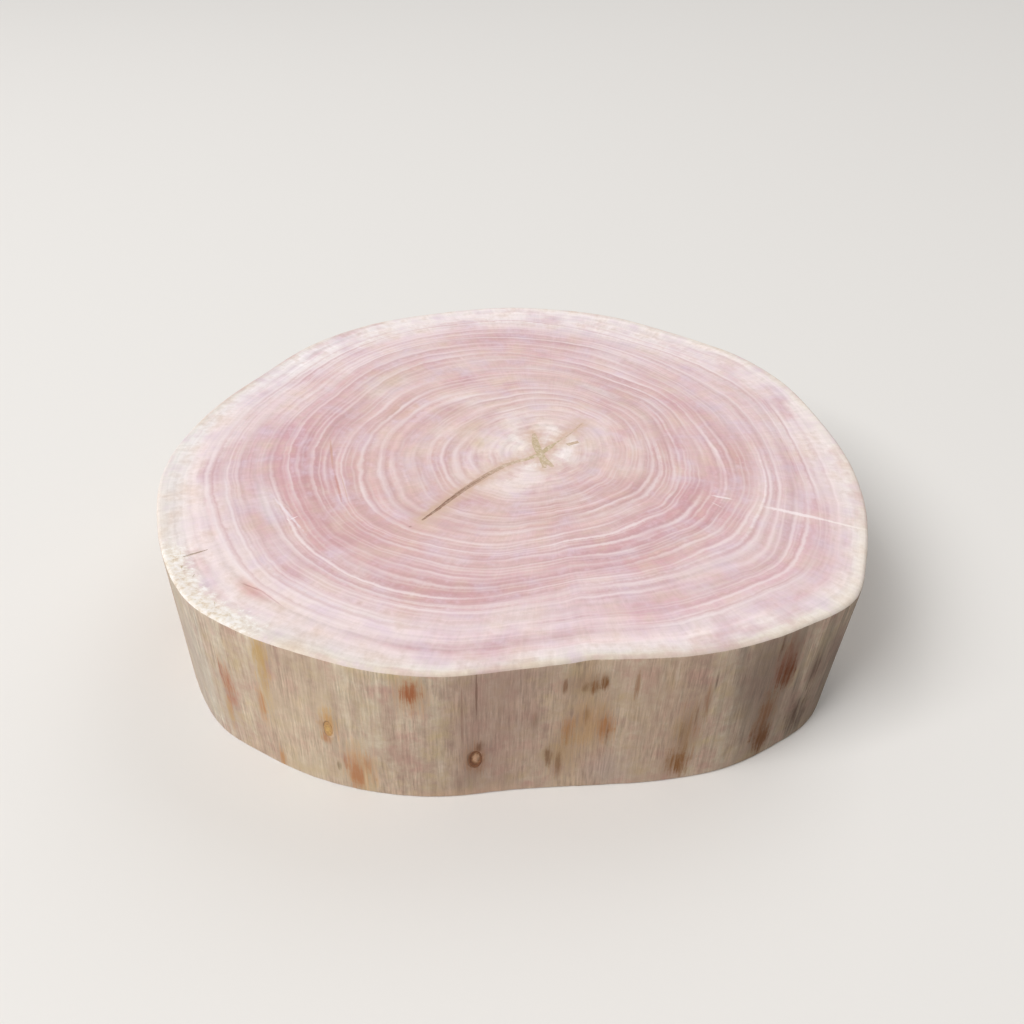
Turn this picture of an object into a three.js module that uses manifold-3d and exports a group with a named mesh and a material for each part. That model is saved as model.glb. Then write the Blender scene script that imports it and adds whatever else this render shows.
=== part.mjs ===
// Round chopping block: one thick slice of a trunk, sawn across the grain, stripped of its bark and eased along
// both rims. Glue and sawdust fill the checks at its heart, flush with the top, and two dead pin knots sit in
// sockets in its wall. The trunk isn't round, so every outline is a closed spline about the heart of the rings.
// Millimetres, +Z up. The origin is the middle of the foot, level with the surface that the block stands on.

import * as THREE from 'three';
import { mergeVertices, toCreasedNormals } from 'three/addons/utils/BufferGeometryUtils.js';
import Module from 'manifold-3d';

// Block
const blockWidth = 300;
const blockDepth = 280;
const blockThickness = 70;
const rimRounding = 1.5;
const footRounding = 1.2;

// Seats
const fitGap = 0.3;
const cutOverrun = 2;

// Checks at the heart, each as wide as its filler at the mouth. A reach is measured from the heart.
const longCheckReach = 72;
const longCheckWidth = 2.4;
const longCheckDepth = 11;
const crossCheckReach = 15;
const crossCheckWidth = 3.4;
const crossCheckDepth = 15;
const shortCheckStart = 12;
const shortCheckLength = 6;
const shortCheckWidth = 2;
const shortCheckDepth = 6;
const shortCheckTurn = 27;

// Open check at the rim, on the side where the saw tore the sapwood
const rimCheckLength = 15;
const rimCheckWidth = 0.8;
const rimCheckDepth = 8;
const rimCheckTurn = 210.3;

// Pin knots: dead twigs that the trunk grew round, each a tapered plug that rises towards the bark
const knotRise = 14;
const frontKnot = { turn: 260, height: 22.5, width: 5, tallness: 10, length: 22 };
const leftKnot = { turn: 238.5, height: 33, width: 3.4, tallness: 9, length: 18 };

// Facets
const blockColumns = 168;
const roundingSteps = 3;
const checkSteps = 22;
const knotSides = 20;

// The trunk about its heart, seen from above, going round from +X. Each row is a shoulder or a hollow of the
// trunk: its direction in degrees, then its radius at the top and at the foot, where 1 is half the width.
const trunkShares = [
  [0, 0.915, 0.915],
  [16, 0.913, 0.915],
  [30, 0.936, 0.934],
  [42, 0.944, 0.94],
  [52, 0.932, 0.93],
  [62, 0.932, 0.934],
  [74, 0.953, 0.955],
  [86, 0.959, 0.96],
  [98, 0.97, 0.968],
  [112, 0.974, 0.97],
  [128, 1.002, 1.0],
  [142, 1.015, 1.016],
  [156, 1.011, 1.014],
  [172, 1.052, 1.05],
  [188, 1.093, 1.089],
  [204, 1.098, 1.096],
  [218, 1.097, 1.095],
  [228, 1.051, 1.05],
  [237, 1.003, 1.008],
  [246, 0.967, 0.963],
  [255, 0.926, 0.914],
  [267, 0.862, 0.855],
  [280, 0.839, 0.847],
  [291, 0.866, 0.872],
  [302, 0.903, 0.911],
  [312, 0.935, 0.938],
  [322, 0.974, 0.962],
  [333, 0.948, 0.945],
  [347, 0.926, 0.924],
];

// Each check's line from the heart, as shares of its reach, then its width as a share of its mouth's.
const longCheckShares = [
  [-0.68, -0.73, 0.3],
  [-0.62, -0.65, 0.55],
  [-0.53, -0.52, 0.75],
  [-0.4, -0.35, 1],
  [-0.22, -0.163, 0.9],
  [-0.1, -0.095, 0.85],
  [-0.015, -0.035, 1],
  [0.04, 0.045, 1],
  [0.095, 0.105, 0.9],
  [0.17, 0.195, 0.45],
  [0.255, 0.325, 0.3],
];
const crossCheckShares = [
  [-0.28, 0.95, 0.4],
  [-0.25, 0.6, 0.85],
  [-0.2, 0.25, 1],
  [-0.08, -0.17, 1],
  [0, -0.5, 0.95],
  [0.03, -0.89, 0.5],
];
const forkCheckShares = [
  [-0.05, -0.33, 0.8],
  [0.13, -0.6, 0.75],
  [0.28, -0.81, 0.45],
];
const rimCheckShares = [0.3, 0.6, 1, 1];

// A check narrows from its mouth to its root, and a pin knot from the wall to its tip.
const checkRootShare = 0.45;
const knotTipShare = 0.35;

const wasm = await Module();
wasm.setup();
const up = new THREE.Vector3(0, 0, 1);

function direction(degrees) {
  const angle = THREE.MathUtils.degToRad(degrees);
  return new THREE.Vector3(Math.cos(angle), Math.sin(angle), 0);
}

// The trunk's outline in proportion, from one column of its table.
function trunkPoints(column) {
  const points = trunkShares.map((row) => direction(row[0]).multiplyScalar(row[column]));
  return new THREE.CatmullRomCurve3(points, true).getPoints(blockColumns).slice(0, blockColumns);
}

const topShape = trunkPoints(1);
const footShape = trunkPoints(2);
const shapeBox = new THREE.Box3().setFromPoints([...topShape, ...footShape]);
const shapeSize = shapeBox.getSize(new THREE.Vector3());
const shapeScale = new THREE.Vector3(blockWidth / shapeSize.x, blockDepth / shapeSize.y, 1);
const shapeMiddle = shapeBox.getCenter(new THREE.Vector3());

// The heart stands off the middle of the block, as the table's own middle does.
const heart = shapeMiddle.clone().negate().multiply(shapeScale);

// The block's outline at a height, drawn in all round by an inset.
function blockRing(height, inset) {
  const ring = topShape.map((top, i) => {
    const point = footShape[i].clone().lerp(top, height / blockThickness);
    return point.sub(shapeMiddle).multiply(shapeScale).setZ(height);
  });
  return ring.map((point, i) => {
    const before = ring.at(i - 1);
    const after = ring[(i + 1) % ring.length];
    const inward = up.clone().cross(after.clone().sub(before)).normalize();
    return point.clone().addScaledVector(inward, inset);
  });
}

// Closed body through a stack of rings that run anticlockwise about +Z, lowest first, with a flat cap at each end.
function loft(rings) {
  const count = rings[0].length;
  const positions = rings.flat().flatMap((point) => point.toArray());
  const indices = [];
  for (let level = 0; level < rings.length - 1; level += 1) {
    for (let i = 0; i < count; i += 1) {
      const here = level * count + i;
      const next = level * count + ((i + 1) % count);
      indices.push(here, next, next + count, here, next + count, here + count);
    }
  }
  const cap = (ring) => THREE.ShapeUtils.triangulateShape(ring.map(({ x, y }) => new THREE.Vector2(x, y)), []);
  const last = (rings.length - 1) * count;
  cap(rings[0]).forEach(([a, b, c]) => indices.push(c, b, a));
  cap(rings.at(-1)).forEach(([a, b, c]) => indices.push(last + a, last + b, last + c));
  const geometry = new THREE.BufferGeometry();
  geometry.setAttribute('position', new THREE.Float32BufferAttribute(positions, 3));
  geometry.setIndex(indices);
  return geometry;
}

function solid(geometry) {
  const merged = mergeVertices(geometry);
  return new wasm.Manifold(new wasm.Mesh({
    numProp: 3,
    vertProperties: new Float32Array(merged.attributes.position.array),
    triVerts: new Uint32Array(merged.index.array),
  }));
}

function join(solids) {
  return solids.reduce((whole, next) => whole.add(next));
}

// The trunk slice before anything is cut in it, with a quarter round along the foot and along the rim.
function sliceSolid() {
  const rings = [];
  for (let step = 0; step <= roundingSteps; step += 1) {
    const angle = (step / roundingSteps) * (Math.PI / 2);
    rings.push(blockRing(footRounding * (1 - Math.cos(angle)), footRounding * (1 - Math.sin(angle))));
  }
  for (let step = 0; step <= roundingSteps; step += 1) {
    const angle = (step / roundingSteps) * (Math.PI / 2);
    const height = blockThickness - rimRounding * (1 - Math.sin(angle));
    rings.push(blockRing(height, rimRounding * (1 - Math.cos(angle))));
  }
  return solid(loft(rings));
}

// A check's line, with half its width at the mouth in z.
function checkLine(shares, reach, width) {
  const points = shares.map(([x, y, share]) => new THREE.Vector3(
    heart.x + x * reach,
    heart.y + y * reach,
    (share * width) / 2,
  ));
  return new THREE.CatmullRomCurve3(points).getSpacedPoints(checkSteps);
}

// The outline round a line at a height: its width times a share, grown all round.
function lineRing(line, height, share, grown) {
  const left = [];
  const right = [];
  line.forEach((point, i) => {
    const before = line[Math.max(i - 1, 0)];
    const after = line[Math.min(i + 1, line.length - 1)];
    const along = after.clone().sub(before).setZ(0).normalize();
    const across = up.clone().cross(along).multiplyScalar(point.z * share + grown);
    const ends = Number(i === line.length - 1) - Number(i === 0);
    const middle = point.clone().setZ(height).addScaledVector(along, ends * grown);
    left.unshift(middle.clone().add(across));
    right.push(middle.clone().sub(across));
  });
  return [...right, ...left];
}

function checkFill(line, depth) {
  return solid(loft([
    lineRing(line, blockThickness - depth, checkRootShare, 0),
    lineRing(line, blockThickness, 1, 0),
  ]));
}

function checkCut(line, depth) {
  return solid(loft([
    lineRing(line, blockThickness - depth - fitGap, checkRootShare, fitGap),
    lineRing(line, blockThickness, 1, fitGap),
    lineRing(line, blockThickness + cutOverrun, 1, fitGap),
  ]));
}

// Where the wall stands in a direction from the heart, and which way it faces there.
function wallPlace(turn, height) {
  const ring = blockRing(height, 0);
  const ray = direction(turn);
  const side = (point) => ray.x * (point.y - heart.y) - ray.y * (point.x - heart.x);
  const ahead = (point) => ray.x * (point.x - heart.x) + ray.y * (point.y - heart.y) > 0;
  const index = ring.findIndex((point, i) => {
    const next = ring[(i + 1) % ring.length];
    return ahead(point) && side(point) <= 0 && side(next) > 0;
  });
  const start = ring[index];
  const end = ring[(index + 1) % ring.length];
  const point = start.clone().lerp(end, side(start) / (side(start) - side(end)));
  const outward = end.clone().sub(start).cross(up).normalize();
  return { point, outward };
}

// A pin knot's tapered plug, running out past the wall, grown all round.
function knotPlug({ turn, height, width, tallness, length }, grown) {
  const { point, outward } = wallPlace(turn, height);
  const rise = THREE.MathUtils.degToRad(knotRise);
  const axis = outward.multiplyScalar(Math.cos(rise)).addScaledVector(up, Math.sin(rise));
  const across = up.clone().cross(axis).normalize();
  const place = new THREE.Matrix4().makeBasis(across, axis.clone().cross(across), axis).setPosition(point);
  const ellipse = (distance, share) => {
    const curve = new THREE.EllipseCurve(0, 0, (width * share) / 2 + grown, (tallness * share) / 2 + grown);
    return curve.getPoints(knotSides).slice(0, knotSides).map(({ x, y }) => new THREE.Vector3(x, y, distance));
  };
  const rings = [ellipse(-length - grown, knotTipShare), ellipse(0, 1), ellipse(tallness, 1)];
  return solid(loft(rings).applyMatrix4(place));
}

// The open check at the rim, a slit that starts outside the wall and closes towards the heart.
function rimCheckCut() {
  const { point } = wallPlace(rimCheckTurn, blockThickness);
  const ray = direction(rimCheckTurn);
  const start = point.clone().addScaledVector(ray, -rimCheckLength);
  const end = point.clone().addScaledVector(ray, cutOverrun);
  const line = rimCheckShares.map((share, i) => {
    const place = start.clone().lerp(end, i / (rimCheckShares.length - 1));
    return place.setZ((share * rimCheckWidth) / 2);
  });
  return solid(loft([
    lineRing(line, blockThickness - rimCheckDepth, checkRootShare, 0),
    lineRing(line, blockThickness, 1, 0),
    lineRing(line, blockThickness + cutOverrun, 1, 0),
  ]));
}

// The three checks that meet at the heart, as [line, depth].
const starChecks = [
  [checkLine(longCheckShares, longCheckReach, longCheckWidth), longCheckDepth],
  [checkLine(crossCheckShares, crossCheckReach, crossCheckWidth), crossCheckDepth],
  [checkLine(forkCheckShares, crossCheckReach, crossCheckWidth), crossCheckDepth],
];

function shortCheckLine() {
  const ray = direction(shortCheckTurn);
  const ends = [shortCheckStart, shortCheckStart + shortCheckLength];
  const points = ends.map((distance) => heart.clone().addScaledVector(ray, distance).setZ(shortCheckWidth / 2));
  return new THREE.LineCurve3(...points).getPoints(2);
}

function mesh(name, shape, colour, roughness) {
  const { vertProperties, triVerts } = shape.getMesh();
  const geometry = new THREE.BufferGeometry();
  geometry.setAttribute('position', new THREE.Float32BufferAttribute(vertProperties, 3));
  geometry.setIndex(Array.from(triVerts));
  const creased = toCreasedNormals(geometry, Math.PI / 7);
  const piece = new THREE.Mesh(creased, new THREE.MeshStandardMaterial({ color: colour, roughness, metalness: 0 }));
  piece.name = name;
  return piece;
}

const slice = sliceSolid();
const shortLine = shortCheckLine();
const starFill = join(starChecks.map(([line, depth]) => checkFill(line, depth)));
const shortFill = checkFill(shortLine, shortCheckDepth);
const cuts = join([
  ...starChecks.map(([line, depth]) => checkCut(line, depth)),
  checkCut(shortLine, shortCheckDepth),
  knotPlug(frontKnot, fitGap),
  knotPlug(leftKnot, fitGap),
  rimCheckCut(),
]);

const choppingBlock = new THREE.Group();
choppingBlock.name = 'chopping_block';
choppingBlock.add(
  mesh('wood_block', slice.subtract(cuts), '#dcc2b6', 0.72),
  mesh('star_check_filler', starFill, '#b5a27e', 0.85),
  mesh('short_check_filler', shortFill, '#b8a888', 0.85),
  mesh('pin_knot_front', knotPlug(frontKnot, 0).intersect(slice), '#84603f', 0.8),
  mesh('pin_knot_left', knotPlug(leftKnot, 0).intersect(slice), '#bf8a48', 0.8),
);

export default choppingBlock;
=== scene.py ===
"""Dresses a round chopping block: a slice of trunk with rose heartwood, cream sapwood and a scraped wall.

The slice, its packed heart checks, its pin knots and the fibres that the saw tore at the rim are modelled in place
of the plain solids of the frame. Sizes are in millimetres and turns in degrees about the trunk's heart, from +X,
until a mesh is written in metres.
"""

from __future__ import annotations

import logging
import math
import random
from collections.abc import Sequence
from dataclasses import dataclass, replace
from enum import Enum

import bmesh
import bpy
import numpy as np
from mathutils import Matrix, Vector, noise

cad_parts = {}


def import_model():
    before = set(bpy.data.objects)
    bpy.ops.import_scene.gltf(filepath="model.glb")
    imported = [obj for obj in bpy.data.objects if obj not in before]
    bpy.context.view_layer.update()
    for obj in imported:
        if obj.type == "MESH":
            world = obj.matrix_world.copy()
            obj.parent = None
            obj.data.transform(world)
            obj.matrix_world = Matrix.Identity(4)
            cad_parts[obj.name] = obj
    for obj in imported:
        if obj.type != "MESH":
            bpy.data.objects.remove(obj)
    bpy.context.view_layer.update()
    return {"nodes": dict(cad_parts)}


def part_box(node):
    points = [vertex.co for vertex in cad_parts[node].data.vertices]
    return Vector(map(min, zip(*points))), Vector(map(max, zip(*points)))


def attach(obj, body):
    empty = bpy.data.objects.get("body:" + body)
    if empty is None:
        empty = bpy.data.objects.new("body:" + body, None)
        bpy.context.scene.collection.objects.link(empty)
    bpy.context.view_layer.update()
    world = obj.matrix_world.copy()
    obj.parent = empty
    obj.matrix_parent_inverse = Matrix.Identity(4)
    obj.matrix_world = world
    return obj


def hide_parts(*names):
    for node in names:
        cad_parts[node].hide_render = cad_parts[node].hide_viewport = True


LOG = logging.getLogger("chopping_block")
MM = 0.001
LEVEL = 0.99999
SAWN = 0.45
BODY = "root"
Pairs = Sequence[tuple[float, float]]
Source = bpy.types.Node | bpy.types.NodeSocket
Inputs = dict[str | int, object] | Sequence[object]


class Slot(Enum):
    """Material slots of the record."""

    WOOD = "end_grain_wood"
    FILLER = "check_filler"
    KNOT = "knot_wood"


def srgb(colour: str) -> tuple[float, float, float, float]:
    """Turns an sRGB hex colour to linear light.

    Args:
        colour: Six hex digits after a hash.

    Returns:
        Linear red, green and blue, with an alpha of 1.
    """
    parts = [int(colour[i:i + 2], 16) / 255 for i in (1, 3, 5)]
    red, green, blue = (p / 12.92 if p <= 0.04045 else ((p + 0.055) / 1.055) ** 2.4 for p in parts)
    return red, green, blue, 1.0


def add(tree: bpy.types.NodeTree, kind: str, inputs: Inputs = (), **settings: object) -> bpy.types.Node:
    """Adds a node with its settings and links.

    Args:
        tree: The node tree that gets it.
        kind: The node's class name, without the leading ShaderNode.
        inputs: Values by socket name or number, or in the sockets' order. A node stands for its first output, and a
            hex colour for its light.
        settings: Properties of the node, or stops, as (place, hex colour), for its colour ramp.

    Returns:
        The new node.
    """
    made = tree.nodes.new("ShaderNode" + kind)
    for name, value in settings.items():
        if name == "stops":
            ramp = made.color_ramp
            while len(ramp.elements) < len(value):
                ramp.elements.new(1.0)
            for element, (place, colour) in zip(ramp.elements, value):
                element.position = place
                element.color = srgb(colour)
        else:
            setattr(made, name, value)
    for key, value in (inputs if isinstance(inputs, dict) else dict(enumerate(inputs))).items():
        target = made.inputs[key] if isinstance(key, int) else next(
            socket for socket in made.inputs if socket.enabled and socket.name == key
        )
        if isinstance(value, bpy.types.Node):
            value = next(socket for socket in value.outputs if socket.enabled)
        if isinstance(value, bpy.types.NodeSocket):
            tree.links.new(value, target)
        else:
            target.default_value = srgb(value) if isinstance(value, str) else value
    return made


def around(points: Pairs, turns: np.ndarray) -> np.ndarray:
    """Reads a smooth closed curve through values given round a circle.

    Args:
        points: Pairs of a turn in degrees and a value, in order of turn.
        turns: The turns to read, in degrees.

    Returns:
        The value at each turn.
    """
    known, values = np.array(points, float).T
    known = np.concatenate([known - 360, known, known + 360])
    values = np.tile(values, 3)
    slopes = np.gradient(values, known)
    turns = (np.asarray(turns, float) - known[0]) % 360 + known[0] + 360
    low = np.clip(np.searchsorted(known, turns) - 1, 0, len(known) - 2)
    span = known[low + 1] - known[low]
    t = (turns - known[low]) / span
    return (
        (2 * t**3 - 3 * t**2 + 1) * values[low]
        + (t**3 - 2 * t**2 + t) * span * slopes[low]
        + (3 * t**2 - 2 * t**3) * values[low + 1]
        + (t**3 - t**2) * span * slopes[low + 1]
    )


def smooth_step(low: float, high: float, value: np.ndarray) -> np.ndarray:
    """Rises smoothly from 0 at low to 1 at high."""
    t = np.clip((value - low) / (high - low), 0, 1)
    return t * t * (3 - 2 * t)


def grain(x: np.ndarray, y: np.ndarray, z: np.ndarray) -> np.ndarray:
    """Reads fractal noise between about 0 and 1 at points given in noise cells.

    Args:
        x: Places along X.
        y: Places along Y.
        z: Places along Z.

    Returns:
        The noise at each place.
    """
    cells = zip(x.ravel(), y.ravel(), z.ravel())
    values = [noise.fractal(Vector(cell), 1.0, 2.0, 3) for cell in cells]
    return np.clip(0.5 + 0.5 * np.array(values).reshape(x.shape), 0, 1)


def points_of(mesh: bpy.types.Mesh) -> np.ndarray:
    """Returns a mesh's points in millimetres, one row each.

    Args:
        mesh: The mesh.

    Returns:
        Its points.
    """
    flat = np.empty(len(mesh.vertices) * 3)
    mesh.vertices.foreach_get("co", flat)
    return flat.reshape(-1, 3) / MM


def move_points(mesh: bpy.types.Mesh, points: np.ndarray) -> None:
    """Writes a mesh's points, given in millimetres."""
    mesh.vertices.foreach_set("co", (points * MM).ravel())
    mesh.update()


def keep_values(mesh: bpy.types.Mesh, name: str, values: np.ndarray) -> None:
    """Keeps a number or a vector for each point of a mesh, for its material to read.

    Args:
        mesh: The mesh.
        name: What the material reads the values by.
        values: One number or one row of three for each point.
    """
    vector = values.ndim > 1
    layer = mesh.attributes.new(name, "FLOAT_VECTOR" if vector else "FLOAT", "POINT")
    layer.data.foreach_set("vector" if vector else "value", np.ascontiguousarray(values, np.float32).ravel())


def piece_from(name: str, shape: bmesh.types.BMesh) -> bpy.types.Object:
    """Makes an object at the origin from a shape in millimetres, with smooth faces that point outwards.

    Args:
        name: The object's name.
        shape: The shape, which is used up.

    Returns:
        The object.
    """
    bmesh.ops.remove_doubles(shape, verts=shape.verts, dist=1e-4)
    bmesh.ops.recalc_face_normals(shape, faces=shape.faces)
    bmesh.ops.scale(shape, verts=shape.verts, vec=(MM, MM, MM))
    for face in shape.faces:
        face.smooth = True
    mesh = bpy.data.meshes.new(name)
    shape.to_mesh(mesh)
    shape.free()
    made = bpy.data.objects.new(name, mesh)
    bpy.context.scene.collection.objects.link(made)
    return made


def cut_away(piece: bpy.types.Object, cutters: Sequence[bpy.types.Object]) -> None:
    """Cuts the cutters' solids out of a piece, and removes the cutters.

    Args:
        piece: The piece that is cut.
        cutters: The solids that it loses.
    """
    for number, cutter in enumerate(cutters):
        modifier = piece.modifiers.new(f"cut_{number}", "BOOLEAN")
        modifier.operation = "DIFFERENCE"
        modifier.solver = "EXACT"
        modifier.object = cutter
    view = bpy.context.evaluated_depsgraph_get()
    view.update()
    cut = bpy.data.meshes.new_from_object(piece.evaluated_get(view))
    piece.modifiers.clear()
    old = piece.data
    piece.data = cut
    cut.name = piece.name
    bpy.data.meshes.remove(old)
    for cutter in cutters:
        mesh = cutter.data
        bpy.data.objects.remove(cutter)
        bpy.data.meshes.remove(mesh)


def crease(piece: bpy.types.Object, degrees: float) -> None:
    """Makes the edges of a piece sharp where its faces meet at more than an angle, and its level faces flat.

    Args:
        piece: The piece.
        degrees: The angle.
    """
    piece.data.set_sharp_from_angle(angle=math.radians(degrees))
    for face in piece.data.polygons:
        face.use_smooth = abs(face.normal.z) < LEVEL


@dataclass
class Trunk:
    """The trunk that the slice came from: its outline, from the frame, and its rings and scraped wall."""

    block: bpy.types.Object
    heart: tuple[float, float] = (12.5, -5.0)
    rim_rounding: float = 1.5
    foot_rounding: float = 1.2
    level_slack: float = 0.02
    scrape_grid: tuple[int, int] = (1440, 24)
    flat_depth: float = 0.3
    ridge_depth: float = 0.22
    dent_turn: float = -82.5
    dent_depth: float = 0.7
    dent_width: float = 5.0
    # Six rings followed round the top, by age, where 0 is the heart and 1 the bark: the turn of each crest and
    # hollow, then its share of the way from the heart to the rim.
    rings: tuple[tuple[float, Pairs], ...] = (
        (0.3, ((-180, 0.28), (-90, 0.3), (-40, 0.245), (10, 0.265), (65, 0.29), (140, 0.26))),
        (0.5, ((-180, 0.523), (-130, 0.53), (-90, 0.5), (-40, 0.42), (-20, 0.44), (0, 0.435), (40, 0.455),
               (90, 0.482), (130, 0.5), (160, 0.52))),
        (0.6, ((-180, 0.63), (-150, 0.61), (-90, 0.6), (-40, 0.55), (-15, 0.58), (10, 0.558), (40, 0.554),
               (80, 0.585), (110, 0.643), (150, 0.643))),
        (0.7, ((-180, 0.735), (-145, 0.7), (-120, 0.73), (-90, 0.7), (-40, 0.635), (-12, 0.678), (20, 0.667),
               (38, 0.65), (65, 0.7), (85, 0.72), (112, 0.757), (150, 0.754))),
        (0.8, ((-180, 0.81), (-145, 0.775), (-120, 0.803), (-90, 0.8), (-60, 0.77), (0, 0.772), (20, 0.783),
               (40, 0.76), (60, 0.795), (75, 0.797), (95, 0.84), (150, 0.83))),
        (0.9, ((-180, 0.895), (-145, 0.873), (-120, 0.892), (-80, 0.9), (-40, 0.86), (-25, 0.88), (-3, 0.86),
               (25, 0.88), (75, 0.892), (90, 0.92), (150, 0.9))),
    )

    def __post_init__(self) -> None:
        """Reads the outline at the rim and at the foot from the frame's block, and scrapes the wall."""
        low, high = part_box(self.block.name)
        self.foot = low[2] / MM
        self.top = high[2] / MM
        points = points_of(self.block.data)
        self.rim_line = self._outline(points, self.top - self.rim_rounding)
        self.foot_line = self._outline(points, self.foot + self.foot_rounding)
        columns, rows = self.scrape_grid
        angles, heights = np.meshgrid(np.arange(columns + 1) * math.tau / columns, np.arange(rows + 1) / rows)
        x, y = np.cos(angles), np.sin(angles)
        flats = np.abs(grain(x * 3.1, y * 3.1, heights * 0.5) - 0.5) * 2
        ridges = grain(x * 34, y * 34, heights * 0.85)
        self.scraped = self.flat_depth * flats + self.ridge_depth * ridges

    def _outline(self, points: np.ndarray, height: float) -> Pairs:
        """Reads the block's full outline at a height as pairs of turn and radius.

        Args:
            points: The block's points in millimetres.
            height: The height in millimetres.

        Returns:
            The outline, in order of turn.
        """
        ring = points[np.abs(points[:, 2] - height) < self.level_slack]
        turns, radii = self.polar(ring)
        order = np.unique(np.round(turns, 2), return_index=True)[1]
        return list(zip(turns[order], radii[order]))

    def polar(self, points: np.ndarray) -> tuple[np.ndarray, np.ndarray]:
        """Returns the turn in degrees and the distance from the heart of each point.

        Args:
            points: Points in millimetres.

        Returns:
            The turns, and the distances in millimetres.
        """
        x = points[:, 0] - self.heart[0]
        y = points[:, 1] - self.heart[1]
        return np.degrees(np.arctan2(y, x)), np.hypot(x, y)

    def wall(self, turns: np.ndarray, heights: np.ndarray) -> np.ndarray:
        """Gives the radius of the scraped wall.

        Args:
            turns: Turns in degrees.
            heights: Heights above the foot in millimetres, one for each turn.

        Returns:
            The radius at each place, at most that of the frame's block.
        """
        mix = np.clip((heights - self.foot) / (self.top - self.foot), 0, 1)
        plain = around(self.foot_line, turns) * (1 - mix) + around(self.rim_line, turns) * mix
        columns, rows = self.scrape_grid
        column, row = turns % 360 / 360 * columns, mix * rows
        left, below = np.minimum(column.astype(int), columns - 1), np.minimum(row.astype(int), rows - 1)
        aside, above = column - left, row - below
        lower = self.scraped[below, left] * (1 - aside) + self.scraped[below, left + 1] * aside
        upper = self.scraped[below + 1, left] * (1 - aside) + self.scraped[below + 1, left + 1] * aside
        scraped = lower * (1 - above) + upper * above
        across = np.radians((turns - self.dent_turn + 180) % 360 - 180) * plain
        dent = np.exp(-(across / self.dent_width) ** 2) * smooth_step(self.top - 12, self.top, heights)
        return plain - scraped - self.dent_depth * dent

    def ages(self, points: np.ndarray) -> np.ndarray:
        """Gives the age of the wood at each point, from 0 at the heart to 1 at the bark.

        Args:
            points: Points in millimetres.

        Returns:
            The age at each point.
        """
        turns, radii = self.polar(points)
        share = np.clip(radii / self.wall(turns, points[:, 2]), 0, 1)
        known = np.array([0.0, *(age for age, _ in self.rings), 1.0])
        rings = [np.zeros_like(share), *(around(ring, turns) for _, ring in self.rings), np.ones_like(share)]
        shares = np.stack(rings, axis=1)
        low = np.clip((share[:, None] >= shares).sum(axis=1) - 1, 0, len(known) - 2)
        rows = np.arange(len(share))
        span = shares[rows, low + 1] - shares[rows, low]
        return known[low] + (known[low + 1] - known[low]) * (share - shares[rows, low]) / span

    def place(self, turn: float, distance: float, height: float) -> Vector:
        """Gives the point at a turn, a distance from the heart and a height.

        Args:
            turn: The turn in degrees.
            distance: Millimetres from the heart.
            height: Millimetres above the foot.

        Returns:
            The point in millimetres.
        """
        angle = math.radians(turn)
        return Vector((
            self.heart[0] + distance * math.cos(angle),
            self.heart[1] + distance * math.sin(angle),
            height,
        ))


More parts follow.
